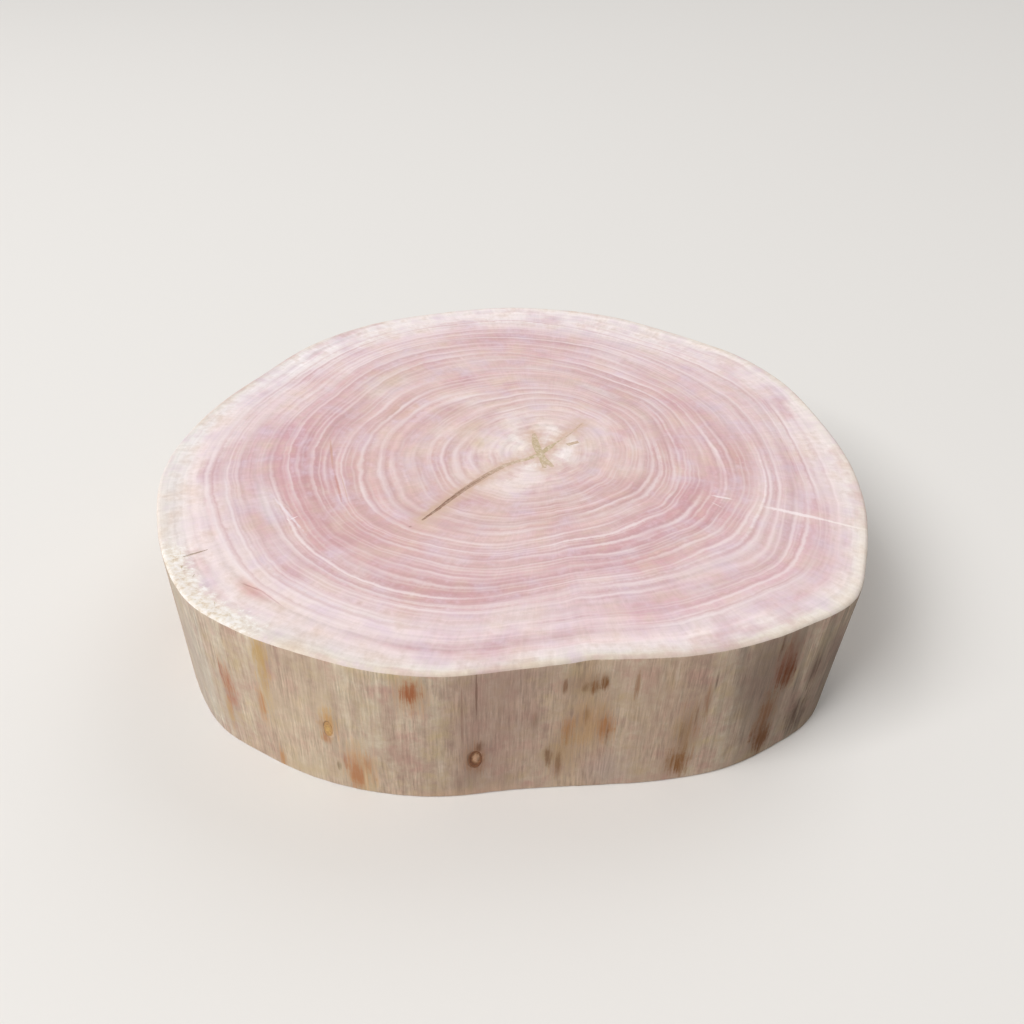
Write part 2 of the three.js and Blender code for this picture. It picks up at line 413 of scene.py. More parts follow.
@dataclass
class HeartChecks:
    """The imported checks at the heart, copied from the frame's fillers and given ragged edges."""

    trunk: Trunk
    longest_edge: float = 0.8
    ragged: tuple[float, float] = (0.22, 0.14)
    ragged_pitch: tuple[float, float] = (2.2, 0.9)
    short_arm_squeeze: float = 0.55
    short_arm_start: float = 8.0
    arm_reach: float = 2.5
    split_width: float = 0.35
    split_depth: float = 0.12
    sharp_angle: float = 40.0
    seed: int = 3
    # Lines in millimetres from the heart: the middle of the short arm, and the open hairline along the long arm.
    short_arm: Pairs = ((2.9, 3.2), (6.8, 7.6), (12.2, 14.0), (18.6, 24.0))
    split_line: Pairs = ((-48.4, -52.0), (-44.6, -46.8), (-40.2, -40.2), (-34.6, -32.8), (-28.8, -25.9), (-23.0, -19.6))
    # The lines of the stain that the filler left in the wood round the long arm and the cross.
    stain_lines: tuple[Pairs, ...] = (
        ((-48.8, -52.5), (-40.0, -40.8), (-29.2, -25.8), (-15.8, -11.7), (-1.2, -2.5)),
        ((-1.2, -2.5), (6.7, 7.5), (18.3, 23.3)),
        ((-4.2, 14.2), (-1.2, -2.5), (0.4, -13.3)),
    )

    def _way_to(self, flat: np.ndarray, line: Pairs) -> np.ndarray:
        """Gives the way from each point, in millimetres from the heart, to the nearest place on a line.

        Args:
            flat: Points in millimetres from the heart.
            line: The line's corners, from the heart too.

        Returns:
            The way from each point.
        """
        best = np.full(flat.shape, np.inf)
        for before, after in zip(np.array(line), np.array(line)[1:]):
            step = after - before
            along = np.clip((flat - before) @ step / (step @ step), 0, 1)
            way = before + along[:, None] * step - flat
            nearer = np.linalg.norm(way, axis=1) < np.linalg.norm(best, axis=1)
            best[nearer] = way[nearer]
        return best

    def filler(self, name: str, solid: bpy.types.Object) -> bpy.types.Object:
        """Copies a filler's solid with finer faces, ragged edges and a thinner short arm, level with the top.

        Args:
            name: The new piece's name.
            solid: The frame's solid.

        Returns:
            The new piece.
        """
        shape = bmesh.new()
        shape.from_mesh(solid.data)
        bmesh.ops.scale(shape, verts=shape.verts, vec=(1 / MM, 1 / MM, 1 / MM))
        bmesh.ops.remove_doubles(shape, verts=shape.verts, dist=1e-3)
        levels = {min(vertex.co.z for vertex in shape.verts), max(vertex.co.z for vertex in shape.verts)}
        for level in levels:
            cap = [face for face in shape.faces if all(abs(vertex.co.z - level) < MM for vertex in face.verts)]
            bmesh.ops.dissolve_faces(shape, faces=cap)
        for _ in range(3):
            long_edges = [edge for edge in shape.edges if edge.calc_length() > self.longest_edge]
            bmesh.ops.subdivide_edges(shape, edges=long_edges, cuts=1)
        points = np.array([vertex.co for vertex in shape.verts])
        noise.seed_set(self.seed)
        for shift, pitch in zip(self.ragged, self.ragged_pitch):
            ways = [noise.noise_vector(Vector((x / pitch, y / pitch, 0))) for x, y in points[:, :2]]
            points[:, :2] += shift * np.array(ways)[:, :2]
        flat = points[:, :2] - np.array(self.trunk.heart)
        way = self._way_to(flat, self.short_arm)
        gap = np.linalg.norm(way, axis=1)
        out = smooth_step(self.short_arm_start * 0.6, self.short_arm_start, flat @ np.array([0.6, 0.8]))
        points[:, :2] += way * (self.short_arm_squeeze * out * (gap < self.arm_reach))[:, None]
        for vertex, point in zip(shape.verts, points):
            vertex.co = point
        bmesh.ops.triangulate(shape, faces=shape.faces)
        return piece_from(name, shape)

    def split(self) -> bpy.types.Object:
        """Makes the thin solid that opens the hairline in the long arm's filler.

        Returns:
            The solid.
        """
        shape = bmesh.new()
        low, high = self.trunk.top - self.split_depth, self.trunk.top + self.split_depth
        start = [self.trunk.heart[i] + self.split_line[0][i] for i in (0, 1)]
        edge = [shape.verts.new((*start, height)) for height in (low, high)]
        shape.edges.new(edge)
        for before, after in zip(self.split_line, self.split_line[1:]):
            line = [shape.edges.get(edge)]
            pushed = bmesh.ops.extrude_edge_only(shape, edges=line)["geom"]
            moved = [item for item in pushed if isinstance(item, bmesh.types.BMVert)]
            step = (after[0] - before[0], after[1] - before[1], 0)
            bmesh.ops.translate(shape, verts=moved, vec=step)
            edge = moved
        bmesh.ops.solidify(shape, geom=shape.faces, thickness=self.split_width)
        return piece_from("heart_split", shape)

    def stain(self, points: np.ndarray, reach: float) -> np.ndarray:
        """Gives how strongly the filler's glue stains the wood at each point, from 0 to 1.

        Args:
            points: Points in millimetres.
            reach: How far the stain spreads, in millimetres.

        Returns:
            The strength at each point.
        """
        flat = points[:, :2] - np.array(self.trunk.heart)
        gaps = [np.linalg.norm(self._way_to(flat, line), axis=1) for line in self.stain_lines]
        return np.exp(-((np.min(gaps, axis=0) / reach) ** 2))


@dataclass
class TornRim:
    """The stretch of rim where the saw tore the sapwood, its open check and the fibres left on it."""

    trunk: Trunk
    middle: float = -142.0
    half_turn: float = 15.0
    reach: float = 13.0
    edge: float = 2.0
    depth: float = 0.4
    pitch: float = 2.3
    check_turn: float = -149.7
    check_outer: float = 163.5
    check_inner: float = 143.5
    check_width: float = 0.6
    check_depth: float = 2.5
    fibre_count: int = 70
    fibre_sides: int = 5
    seed: int = 41

    def strength(self, points: np.ndarray) -> np.ndarray:
        """Gives how torn the top is at each point, from 0 to 1.

        Args:
            points: Points in millimetres.

        Returns:
            The strength at each point.
        """
        turns, radii = self.trunk.polar(points)
        aside = np.abs((turns - self.middle + 180) % 360 - 180) / self.half_turn
        inward = (self.trunk.wall(turns, np.full(len(turns), self.trunk.top)) - radii) / self.reach
        return (1 - smooth_step(0.5, 1.0, aside)) * (1 - smooth_step(0.25, 1.0, inward))

    def drop(self, points: np.ndarray) -> np.ndarray:
        """Gives how deep the torn wood lies below the top at each point, which is nothing at the rim itself.

        Args:
            points: Points in millimetres.

        Returns:
            The depth at each point, in millimetres.
        """
        torn = self.strength(points)
        here = torn > 0
        x, y = points[here, 0] / self.pitch, points[here, 1] / self.pitch
        turns, radii = self.trunk.polar(points[here])
        inward = self.trunk.wall(turns, np.full(len(turns), self.trunk.top)) - radii
        torn[here] *= smooth_step(0.4, 0.9, grain(x, y, np.zeros(len(x)))) * smooth_step(0, self.edge, inward - 1)
        return self.depth * torn

    def check(self) -> bpy.types.Object:
        """Makes the wedge that opens the check at the rim.

        Returns:
            The wedge.
        """
        shape = bmesh.new()
        bmesh.ops.create_cone(shape, cap_ends=True, segments=4, radius1=0.01, radius2=1, depth=1)
        bmesh.ops.rotate(shape, verts=shape.verts, cent=(0, 0, 0), matrix=Matrix.Rotation(math.pi / 4, 3, "Z"))
        length = self.check_outer - self.check_inner
        size = (length * math.sqrt(0.5), self.check_width * math.sqrt(0.5), self.check_depth)
        bmesh.ops.scale(shape, verts=shape.verts, vec=size)
        turned = Matrix.Rotation(math.radians(self.check_turn), 4, "Z")
        middle = self.trunk.place(self.check_turn, (self.check_outer + self.check_inner) / 2, self.trunk.top)
        bmesh.ops.transform(shape, verts=shape.verts, matrix=Matrix.Translation(middle) @ turned)
        return piece_from("rim_check", shape)

    def fibres(self) -> bpy.types.Object:
        """Makes the loose fibres, each a thin tapered strand that lies in the torn wood.

        Returns:
            The fibres, as one object.
        """
        dice = random.Random(self.seed)
        shape = bmesh.new()
        for _ in range(self.fibre_count):
            turn = self.middle + self.half_turn * 0.7 * dice.uniform(-1, 1)
            length = dice.uniform(1.2, 4.0)
            width = dice.uniform(0.08, 0.18)
            made = bmesh.ops.create_cone(
                shape, cap_ends=True, segments=self.fibre_sides, radius1=width, radius2=width / 4, depth=length
            )["verts"]
            bmesh.ops.rotate(shape, verts=made, cent=(0, 0, 0), matrix=Matrix.Rotation(math.pi / 2, 3, "Y"))
            bmesh.ops.scale(shape, verts=made, vec=(1, 1, 0.5))
            swing = math.radians(turn + 90 + dice.gauss(0, 35))
            wall = float(self.trunk.wall(np.array([turn]), np.array([self.trunk.top]))[0])
            inward = self.trunk.rim_rounding + 0.5 + abs(dice.gauss(0, 0.35)) * self.reach
            place = self.trunk.place(turn, wall - inward, self.trunk.top)
            tilt = Matrix.Rotation(math.radians(dice.uniform(-2, 2)), 4, "Y")
            matrix = Matrix.Translation(place) @ Matrix.Rotation(swing, 4, "Z") @ tilt
            bmesh.ops.transform(shape, verts=made, matrix=matrix)
            over = max(vertex.co.z for vertex in made) - self.trunk.top
            bmesh.ops.translate(shape, verts=made, vec=(0, 0, -over - dice.uniform(0.01, 0.15)))
        return piece_from("torn_rim_fibres", shape)


@dataclass
class PinKnot:
    """A dead twig that the trunk grew round: a core in its bark, set in a socket in the wall."""

    trunk: Trunk
    name: str
    turn: float
    height: float
    width: float
    tallness: float
    length: float
    rise: float = 14.0
    sides: int = 48
    gap: float = 0.04
    tip_share: float = 0.35
    relief: float = 1.0
    sharp_angle: float = 50.0
    core_shift: tuple[float, float] = (0.0, 0.0)
    # Rings of the end face from its edge to its middle: their share of its size, and their height out of the wood.
    end_rings: Pairs = (
        (0.97, 0.05), (0.9, 0.1), (0.8, 0.02), (0.7, -0.18), (0.6, -0.2), (0.5, -0.05), (0.36, 0.04), (0.2, 0.08)
    )

    def _loops(self, grown: float, outward: float) -> bmesh.types.BMesh:
        """Makes the twig's tapered body, with its end face at the wall or pulled out of it.

        Args:
            grown: How much wider it is than the knot, on each side.
            outward: How far its end face is pulled out.

        Returns:
            The body in its own frame, with +Z out of the wall.
        """
        shape = bmesh.new()
        bmesh.ops.create_circle(shape, cap_ends=True, segments=self.sides, radius=1)
        bmesh.ops.scale(shape, verts=shape.verts, vec=(self.width / 2 + grown, self.tallness / 2 + grown, 1))
        rim = [edge for edge in shape.edges if edge.is_boundary]
        front = list(shape.faces)
        pushed = bmesh.ops.extrude_edge_only(shape, edges=rim)["geom"]
        back = [item for item in pushed if isinstance(item, bmesh.types.BMVert)]
        bmesh.ops.scale(shape, verts=back, vec=(self.tip_share, self.tip_share, 1))
        sink = self.length * math.tan(math.radians(self.rise))
        bmesh.ops.translate(shape, verts=back, vec=(0, -sink, -self.length - grown))
        bmesh.ops.contextual_create(shape, geom=[item for item in pushed if isinstance(item, bmesh.types.BMEdge)])
        if outward:
            moved = bmesh.ops.extrude_discrete_faces(shape, faces=front)["faces"]
            bmesh.ops.translate(shape, verts=moved[0].verts, vec=(0, 0, outward))
        return shape

    def _set_in_wall(self, shape: bmesh.types.BMesh) -> None:
        """Carries the shape from its own frame, with +Z out of the wall, to its place.

        Args:
            shape: The shape, which is moved.
        """
        here = np.array([self.turn - 1, self.turn + 1, self.turn])
        radii = self.trunk.wall(here, np.full(3, self.height))
        before, after, middle = (self.trunk.place(t, r, self.height) for t, r in zip(here, radii))
        across = (after - before).normalized()
        out = across.cross(Vector((0, 0, 1)))
        turned = Matrix((across, Vector((0, 0, 1)), out)).transposed().to_4x4()
        bmesh.ops.transform(shape, verts=shape.verts, matrix=Matrix.Translation(middle) @ turned)

    def socket(self) -> bpy.types.Object:
        """Makes the solid that opens the knot's socket in the slice.

        Returns:
            The solid.
        """
        shape = self._loops(self.gap, self.tallness / 2)
        self._set_in_wall(shape)
        return piece_from(self.name + "_socket", shape)

    def twig(self) -> bpy.types.Object:
        """Makes the knot itself, with its bark ring, a shrunken gap and its core.

        Returns:
            The knot.
        """
        shape = self._loops(0.0, 0.0)
        end = max(shape.faces, key=lambda face: face.calc_center_median().z)
        inward = shape.verts.layers.float.new("from_bark")
        size, height = 1.0, 0.0
        for share, raised in self.end_rings:
            lift = raised * self.relief
            bmesh.ops.inset_individual(shape, faces=[end], thickness=1e-3, depth=lift - height)
            bmesh.ops.scale(shape, verts=end.verts, vec=(share / size, share / size, 1))
            bmesh.ops.translate(shape, verts=end.verts, vec=(*((size - share) * way for way in self.core_shift), 0))
            for vertex in end.verts:
                vertex[inward] = 1 - share
            size, height = share, lift
        hub = bmesh.ops.poke(shape, faces=[end])["verts"]
        hub[0][inward] = 1.0
        for vertex in shape.verts:
            shift = noise.noise_vector(vertex.co * 0.9 + Vector((self.turn, 0, 0)))
            vertex.co += shift * 0.2 * min(vertex[inward] * 3, 1)
        self._set_in_wall(shape)
        twig = piece_from(self.name, shape)
        crease(twig, self.sharp_angle)
        return twig


@dataclass
class Slice:
    """The slice of trunk: sawn faces, eased rims and a scraped wall, cut open for its checks and knots."""

    trunk: Trunk
    checks: HeartChecks
    torn: TornRim
    columns: int = 640
    top_rows: int = 44
    rim_rows: int = 14
    rim_band: float = 0.08
    wall_rows: int = 34
    foot_rows: int = 14
    rounding_rows: int = 4
    stain_reach: float = 4.5
    pocket_overrun: float = 0.03
    sharp_angle: float = 50.0

    def _profile(self) -> list[tuple[float, float]]:
        """Lists the half section from the middle of the top to the middle of the foot, as (share, height).

        Returns:
            The pairs, where a share of 1 lies on the wall.
        """
        trunk = self.trunk
        inner = np.linspace(0, 1 - self.rim_band, self.top_rows)
        outer = np.linspace(1 - self.rim_band, 1, self.rim_rows)[1:]
        top = [(float(share), trunk.top) for share in (*inner, *outer)]
        quarter = np.linspace(0, math.pi / 2, self.rounding_rows + 1)
        rim = [(1.0, trunk.top - trunk.rim_rounding * (1 - math.cos(a))) for a in quarter[1:]]
        wall = np.linspace(trunk.top - trunk.rim_rounding, trunk.foot + trunk.foot_rounding, self.wall_rows)
        foot = [(1.0, trunk.foot + trunk.foot_rounding * math.cos(a)) for a in quarter[1:]]
        below = [(float(share), trunk.foot) for share in np.linspace(1, 0, self.foot_rows)[1:]]
        return [*top, *rim, *((1.0, float(height)) for height in wall[1:]), *foot, *below]

    def build(self, fillers: Sequence[bpy.types.Object], cutters: Sequence[bpy.types.Object]) -> bpy.types.Object:
        """Spins the section about the heart, fits it to the trunk and cuts it open.

        Args:
            fillers: The pieces that fill its checks.
            cutters: Solids that open its other checks and sockets, which are used up.

        Returns:
            The slice, with what its finishes read kept on its points.
        """
        shape = bmesh.new()
        rows = [shape.verts.new((share, 0, height)) for share, height in self._profile()]
        line = [shape.edges.new(pair) for pair in zip(rows, rows[1:])]
        bmesh.ops.spin(
            shape, geom=[*rows, *line], cent=(0, 0, 0), axis=(0, 0, 1), dvec=(0, 0, 0),
            angle=2 * math.pi, steps=self.columns, use_merge=True, use_duplicate=False,
        )
        piece = piece_from("trunk_slice", shape)
        move_points(piece.data, self._fitted(points_of(piece.data)))
        pockets = [filler.copy() for filler in fillers]
        for pocket in pockets:
            pocket.data = pocket.data.copy()
            bpy.context.scene.collection.objects.link(pocket)
            points = points_of(pocket.data)
            points[:, 2] += self.pocket_overrun * (points[:, 2] > self.trunk.top - MM)
            move_points(pocket.data, points)
        cut_away(piece, [*pockets, *cutters])
        self._keep_finish_values(piece.data)
        crease(piece, self.sharp_angle)
        return piece

    def _fitted(self, points: np.ndarray) -> np.ndarray:
        """Carries the spun section's points onto the trunk.

        Args:
            points: The section's points, with their shares for distances.

        Returns:
            The points on the trunk, in millimetres.
        """
        trunk = self.trunk
        angles = np.arctan2(points[:, 1], points[:, 0])
        share = np.hypot(points[:, 0], points[:, 1])
        height = points[:, 2]
        up = np.clip(1 - (trunk.top - height) / trunk.rim_rounding, 0, 1)
        down = np.clip(1 - (height - trunk.foot) / trunk.foot_rounding, 0, 1)
        eased = trunk.rim_rounding * (1 - np.sqrt(1 - up**2)) + trunk.foot_rounding * (1 - np.sqrt(1 - down**2))
        radius = share * (trunk.wall(np.degrees(angles), height) - eased)
        x = trunk.heart[0] + radius * np.cos(angles)
        y = trunk.heart[1] + radius * np.sin(angles)
        fitted = np.stack([x, y, height], axis=1)
        near_top = smooth_step(trunk.top - 3, trunk.top - 0.5, height)
        fitted[:, 2] -= self.torn.drop(fitted) * near_top
        return fitted

    def _keep_finish_values(self, mesh: bpy.types.Mesh) -> None:
        """Keeps the growth, the glue stain and the torn wood on the slice's points.

        Args:
            mesh: The slice's mesh.
        """
        points = points_of(mesh)
        turns, _ = self.trunk.polar(points)
        ages = self.trunk.ages(points)
        angles = np.radians(turns)
        growth = np.stack([ages * np.cos(angles), ages * np.sin(angles), np.zeros(len(ages))], axis=1)
        near_top = smooth_step(self.trunk.top - 4, self.trunk.top - 1.5, points[:, 2])
        keep_values(mesh, "growth", growth)
        keep_values(mesh, "glue", self.checks.stain(points, self.stain_reach) * near_top)
        keep_values(mesh, "torn", self.torn.strength(points) * near_top)


@dataclass(frozen=True)
class Arc:
    """A patch of another tint that follows the rings: where it lies, how far it reaches and its tint."""

    turn: float
    age: float
    half_turn: float
    half_age: float
    colour: str
    strength: float


@dataclass(frozen=True)
class Fleck:
    """A straight mark on the top: its ends in millimetres from the heart, its width and its tint."""

    start: tuple[float, float]
    end: tuple[float, float]
    width: float
    colour: str
    strength: float


@dataclass(frozen=True)
class StainAndShade:
    """A stain, or a tone zone partly of painted shade, on the wall: turn, height, half width and half height in mm, and
    tint.
    """

    turn: float
    height: float
    half_width: float
    half_height: float
    colour: str
    strength: float
    softness: float = 1.05


@dataclass(frozen=True)
class Streaks:
    """Noise that is drawn out along the rings or across them.

    It has a number of cells to one radian of turn and from the heart to the rim, finer layers and their strength.
    """

    turn_cells: float
    age_cells: float
    detail: float
    roughness: float = 0.5


@dataclass(frozen=True)
class Threads:
    """Thin lines along the rings.

    They have a number from the heart to the rim, a half width as a share of the space between them, the strength
    that they have at most, and a tint.
    """

    count: float
    half_width: float
    strength: float
    colour: str


@dataclass(frozen=True)
class Tint:
    """A colour that a pattern brings out: from and up to which of its values, how strongly, and the colour."""

    start: float
    full: float
    strength: float
    colour: str


def summed(tree: bpy.types.NodeTree, parts: Sequence[tuple[Source, float]], total: Source | None = None) -> Source:
    """Adds up patterns by their weights.

    Args:
        tree: The material's nodes.
        parts: Each pattern and its weight.
        total: What they are added to, if anything.

    Returns:
        The sum.
    """
    for pattern, weight in parts:
        if total is None:
            total = add(tree, "Math", (pattern, weight), operation="MULTIPLY")
        else:
            total = add(tree, "Math", (pattern, weight, total), operation="MULTIPLY_ADD")
    return total


def shaded(tree: bpy.types.NodeTree, colour: Source, pattern: Source, limits: tuple[float, ...]) -> Source:
    """Darkens and lightens a colour by a pattern.

    Args:
        tree: The material's nodes.
        colour: The colour.
        pattern: The pattern.
        limits: The pattern's value where it's darkest and lightest, then the shares of its light it has there.

    Returns:
        The shaded colour.
    """
    shade = add(tree, "MapRange", (pattern, *limits))
    return add(tree, "VectorMath", {0: colour, "Scale": shade}, operation="SCALE")


def tinted(tree: bpy.types.NodeTree, colour: Source, pattern: Source, tints: Sequence[Tint]) -> Source:
    """Lays tints over a colour where a pattern brings them out.

    Args:
        tree: The material's nodes.
        colour: The colour under them.
        pattern: The pattern.
        tints: The tints, the lowest first.

    Returns:
        The tinted colour.
    """
    for tint in tints:
        mask = add(tree, "MapRange", (pattern, tint.start, tint.full, 0.0, tint.strength))
        colour = add(tree, "Mix", {"Factor": mask, "A": colour, "B": tint.colour}, data_type="RGBA")
    return colour


class Finish:
    """What every finish has: its roughness and shine, its relief, and how its material starts and ends."""

    roughness: float
    shine: float
    relief_strength: float = 0.0
    relief_depth: float = 0.0

    def _start(self, name: str, heart: tuple[float, float] = (0.0, 0.0)) -> tuple[bpy.types.Material, Source]:
        """Starts a material.

        Args:
            name: The material's name.
            heart: What its places are measured from.

        Returns:
            The material, and its places in millimetres.
        """
        made = bpy.data.materials.new(name)
        made.use_nodes = True
        tree = made.node_tree
        tree.nodes.clear()
        spot = add(tree, "TexCoord").outputs["Object"]
        centre = (0.0 - heart[0], 0.0 - heart[1], 0)
        return made, add(tree, "Mapping", {"Vector": spot, "Location": centre, "Scale": (1 / MM,) * 3})

    def _end(self, made: bpy.types.Material, colour: Source, relief: Source | None = None) -> bpy.types.Material:
        """Gives a material its surface.

        Args:
            made: The material.
            colour: Its colour.
            relief: How high its surface stands, if it has a relief.

        Returns:
            The finished material.
        """
        skin = {"Base Color": colour, "Roughness": self.roughness, "Specular IOR Level": self.shine}
        if relief is not None:
            raised = {"Height": relief, "Strength": self.relief_strength, "Distance": self.relief_depth * MM}
            skin["Normal"] = add(made.node_tree, "Bump", raised)
        surface = add(made.node_tree, "BsdfPrincipled", skin)
        add(made.node_tree, "OutputMaterial", {"Surface": surface})
        return made


@dataclass(frozen=True)
class TopWood:
    """What the patterns of the sawn top read: millimetres from the heart, the growth and the wavering age.

    The growth points away from the heart and is as long as the wood is old, from 0 at the heart to 1 at the bark.
    """

    tree: bpy.types.NodeTree
    place: Source
    growth: Source
    age: Source

    def drawn(self, streaks: Streaks) -> Source:
        """Makes noise that is drawn out along the rings or across them.

        Args:
            streaks: How it is drawn out.

        Returns:
            The noise.
        """
        direction = add(self.tree, "VectorMath", (self.growth,), operation="NORMALIZE")
        spread = add(self.tree, "VectorMath", {0: direction, "Scale": streaks.turn_cells}, operation="SCALE")
        lifted = add(self.tree, "Math", (self.age, streaks.age_cells), operation="MULTIPLY")
        lift = add(self.tree, "CombineXYZ", {"Z": lifted})
        space = add(self.tree, "VectorMath", (spread, lift), operation="ADD")
        look = {"Vector": space, "Scale": 1.0, "Detail": streaks.detail, "Roughness": streaks.roughness}
        return add(self.tree, "TexNoise", look)


@dataclass(frozen=True)
class SawnEndGrain(Finish):
    """Raw rose heartwood and cream sapwood, sawn across the grain and fine-sanded.

    The rings show as thin pale and dark lines of uneven spacing that wander and fade, the rays as a faint comb
    across them, and the sanded pores leave a dry, even surface with hardly any shine.
    """

    heart: tuple[float, float]
    roughness: float = 0.68
    shine: float = 0.32
    relief_strength: float = 0.5
    relief_depth: float = 0.12
    # Tints from the heart to the rim, by age.
    tints: tuple[tuple[float, str], ...] = (
        (0.0, "#efe2d6"),
        (0.09, "#edddd5"),
        (0.19, "#e5cec8"),
        (0.31, "#dfc2be"),
        (0.5, "#dcbcba"),
        (0.66, "#dbb9ba"),
        (0.72, "#dfc2c3"),
        (0.8, "#e2c9ca"),
        (0.87, "#e8d4d4"),
        (0.93, "#eedddb"),
        (0.965, "#f0e3e0"),
        (0.982, "#ebe1d8"),
        (0.998, "#e6dacd"),
    )
    # Clouds and bands of rose and cream, then of lilac and beige.
    band_streaks: Streaks = Streaks(2.4, 17.0, 3.0, 0.55)
    band_tints: tuple[Tint, ...] = (Tint(1.01, 1.35, 0.7, "#cb9da3"), Tint(0.99, 0.65, 0.6, "#eadbd5"))
    hue_tints: tuple[Tint, ...] = (Tint(0.51, 0.7, 0.6, "#d9c4d0"), Tint(0.49, 0.28, 0.45, "#dfc4ae"))
    # Rings 4 mm, 2 mm and 1 mm wide and the rays across them, each with its weight, then the weight of the pores.
    ring_streaks: tuple[tuple[Streaks, float], ...] = (
        (Streaks(0.5, 34.0, 1.0, 0.4), 0.2),
        (Streaks(0.9, 70.0, 1.0, 0.4), 0.22),
        (Streaks(2.6, 140.0, 2.0, 0.6), 0.18),
        (Streaks(90.0, 9.0, 2.0, 0.7), 0.18),
    )
    pore_weight: float = 0.34
    ring_shade: tuple[float, ...] = (0.43, 0.69, 0.84, 1.09)
    # Each line along the rings drifts to and fro by a share of the age, and has its shadow further out.
    drift_streaks: Streaks = Streaks(0.8, 9.0, 2.0)
    drift: float = 0.045
    shadow_shift: float = 0.008
    bold: Threads = Threads(26.0, 0.25, 0.56, "#f4e6e6")
    faint: Threads = Threads(70.0, 0.34, 0.45, "#eddad8")
    shadow: Threads = Threads(26.0, 0.28, 0.5, "#c39a9c")
    glue_colour: str = "#d3b5a3"
    crumb_turn: float = 53.0
    # The torn rim's crumbs, from tan to white: the tan is partly the crumbs' own colour and partly painted shadow
    # between them.
    crumb_and_shadow_tints: tuple[tuple[float, str], ...] = (
        (0.34, "#cbb390"), (0.42, "#e0d3be"), (0.5, "#ebe3d8"), (0.63, "#f6f2ee")
    )
    arcs: tuple[Arc, ...] = (
        Arc(-165, 0.64, 36, 0.1, "#c99a9e", 0.65),
        Arc(-153, 0.57, 28, 0.13, "#c79798", 0.55),
        Arc(-155, 0.43, 34, 0.13, "#d3aaa6", 0.4),
        Arc(-155, 0.29, 36, 0.07, "#cca19c", 0.45),
        Arc(-162, 0.79, 30, 0.08, "#d2adb0", 0.6),
        Arc(-115, 0.7, 34, 0.075, "#c99999", 0.7),
        Arc(-120, 0.55, 24, 0.06, "#cb9c9a", 0.35),
        Arc(-62, 0.34, 60, 0.13, "#cfa5a2", 0.65),
        Arc(-45, 0.2, 42, 0.08, "#d2a9a6", 0.4),
        Arc(0, 0.45, 22, 0.05, "#cb9a9c", 0.45),
        Arc(-2, 0.13, 20, 0.035, "#e0bdb1", 0.5),
        Arc(32, 0.12, 18, 0.04, "#fbf3f0", 0.5),
        Arc(-48, 0.58, 38, 0.12, "#ca989d", 0.72),
        Arc(-32, 0.42, 22, 0.045, "#cb979b", 0.35),
        Arc(-58, 0.68, 22, 0.05, "#cf9ca1", 0.45),
        Arc(-26, 0.535, 18, 0.04, "#cb959a", 0.4),
        Arc(-4, 0.645, 15, 0.045, "#cb9b90", 0.5),
        Arc(2, 0.82, 24, 0.045, "#d3abb0", 0.5),
        Arc(18, 0.745, 20, 0.03, "#cfa4a6", 0.35),
        Arc(18, 0.28, 34, 0.04, "#cfa3a0", 0.35),
        Arc(178, 0.69, 13, 0.075, "#cc9da6", 0.5),
        Arc(-52, 0.83, 34, 0.06, "#d2a5ac", 0.65),
        Arc(-32, 0.89, 26, 0.075, "#d6a9af", 0.55),
        Arc(-76, 0.88, 14, 0.07, "#d9adb7", 0.35),
        Arc(-105, 0.93, 30, 0.04, "#dfc3c4", 0.3),
        Arc(100, 0.89, 64, 0.12, "#faf2f0", 0.65),
        Arc(140, 0.91, 30, 0.07, "#f7f1ee", 0.45),
        Arc(150, 0.73, 24, 0.04, "#f3e6e4", 0.5),
        Arc(62, 0.46, 16, 0.025, "#f5eaea", 0.5),
        Arc(118, 0.22, 20, 0.09, "#f4e9e4", 0.4),
        Arc(-110, 0.19, 34, 0.08, "#f5e8e6", 0.5),
        Arc(-10, 0.08, 46, 0.045, "#f8efee", 0.7),
        Arc(105, 0.1, 80, 0.07, "#faf1ee", 0.75),
        Arc(-105, 0.085, 45, 0.05, "#faf2ef", 0.75),
        Arc(66, 0.69, 14, 0.08, "#efdfe2", 0.45),
        Arc(155, 0.47, 9, 0.05, "#dcb89f", 0.4),
        Arc(143, 0.6, 12, 0.06, "#d8c8b2", 0.45),
        Arc(152, 0.27, 14, 0.04, "#d9c0a9", 0.4),
        Arc(170, 0.2, 12, 0.03, "#cdbb98", 0.4),
        Arc(-137, 0.225, 13, 0.04, "#efe8e0", 0.45),
        Arc(150, 0.945, 28, 0.045, "#f8f1f2", 0.6),
        Arc(-172, 0.97, 22, 0.04, "#f4f1ef", 0.6),
        Arc(-88, 1.0, 46, 0.02, "#e6d5bd", 0.55),
        Arc(-137.6, 0.905, 4.0, 0.021, "#cd8a87", 0.7),
        Arc(-157, 0.74, 9, 0.04, "#e4dbe2", 0.5),
        Arc(14, 0.502, 36, 0.006, "#f8ecec", 0.55),
        Arc(-30, 0.497, 20, 0.006, "#f6e8e8", 0.5),
        Arc(0, 0.603, 22, 0.006, "#f6e8e8", 0.5),
        Arc(-22, 0.727, 34, 0.006, "#f8ecec", 0.6),
        Arc(-75, 0.725, 30, 0.006, "#f4e4e5", 0.45),
        Arc(-160, 0.84, 30, 0.007, "#f8eef0", 0.5),
        Arc(-128, 0.835, 20, 0.007, "#f6eaec", 0.45),
    )
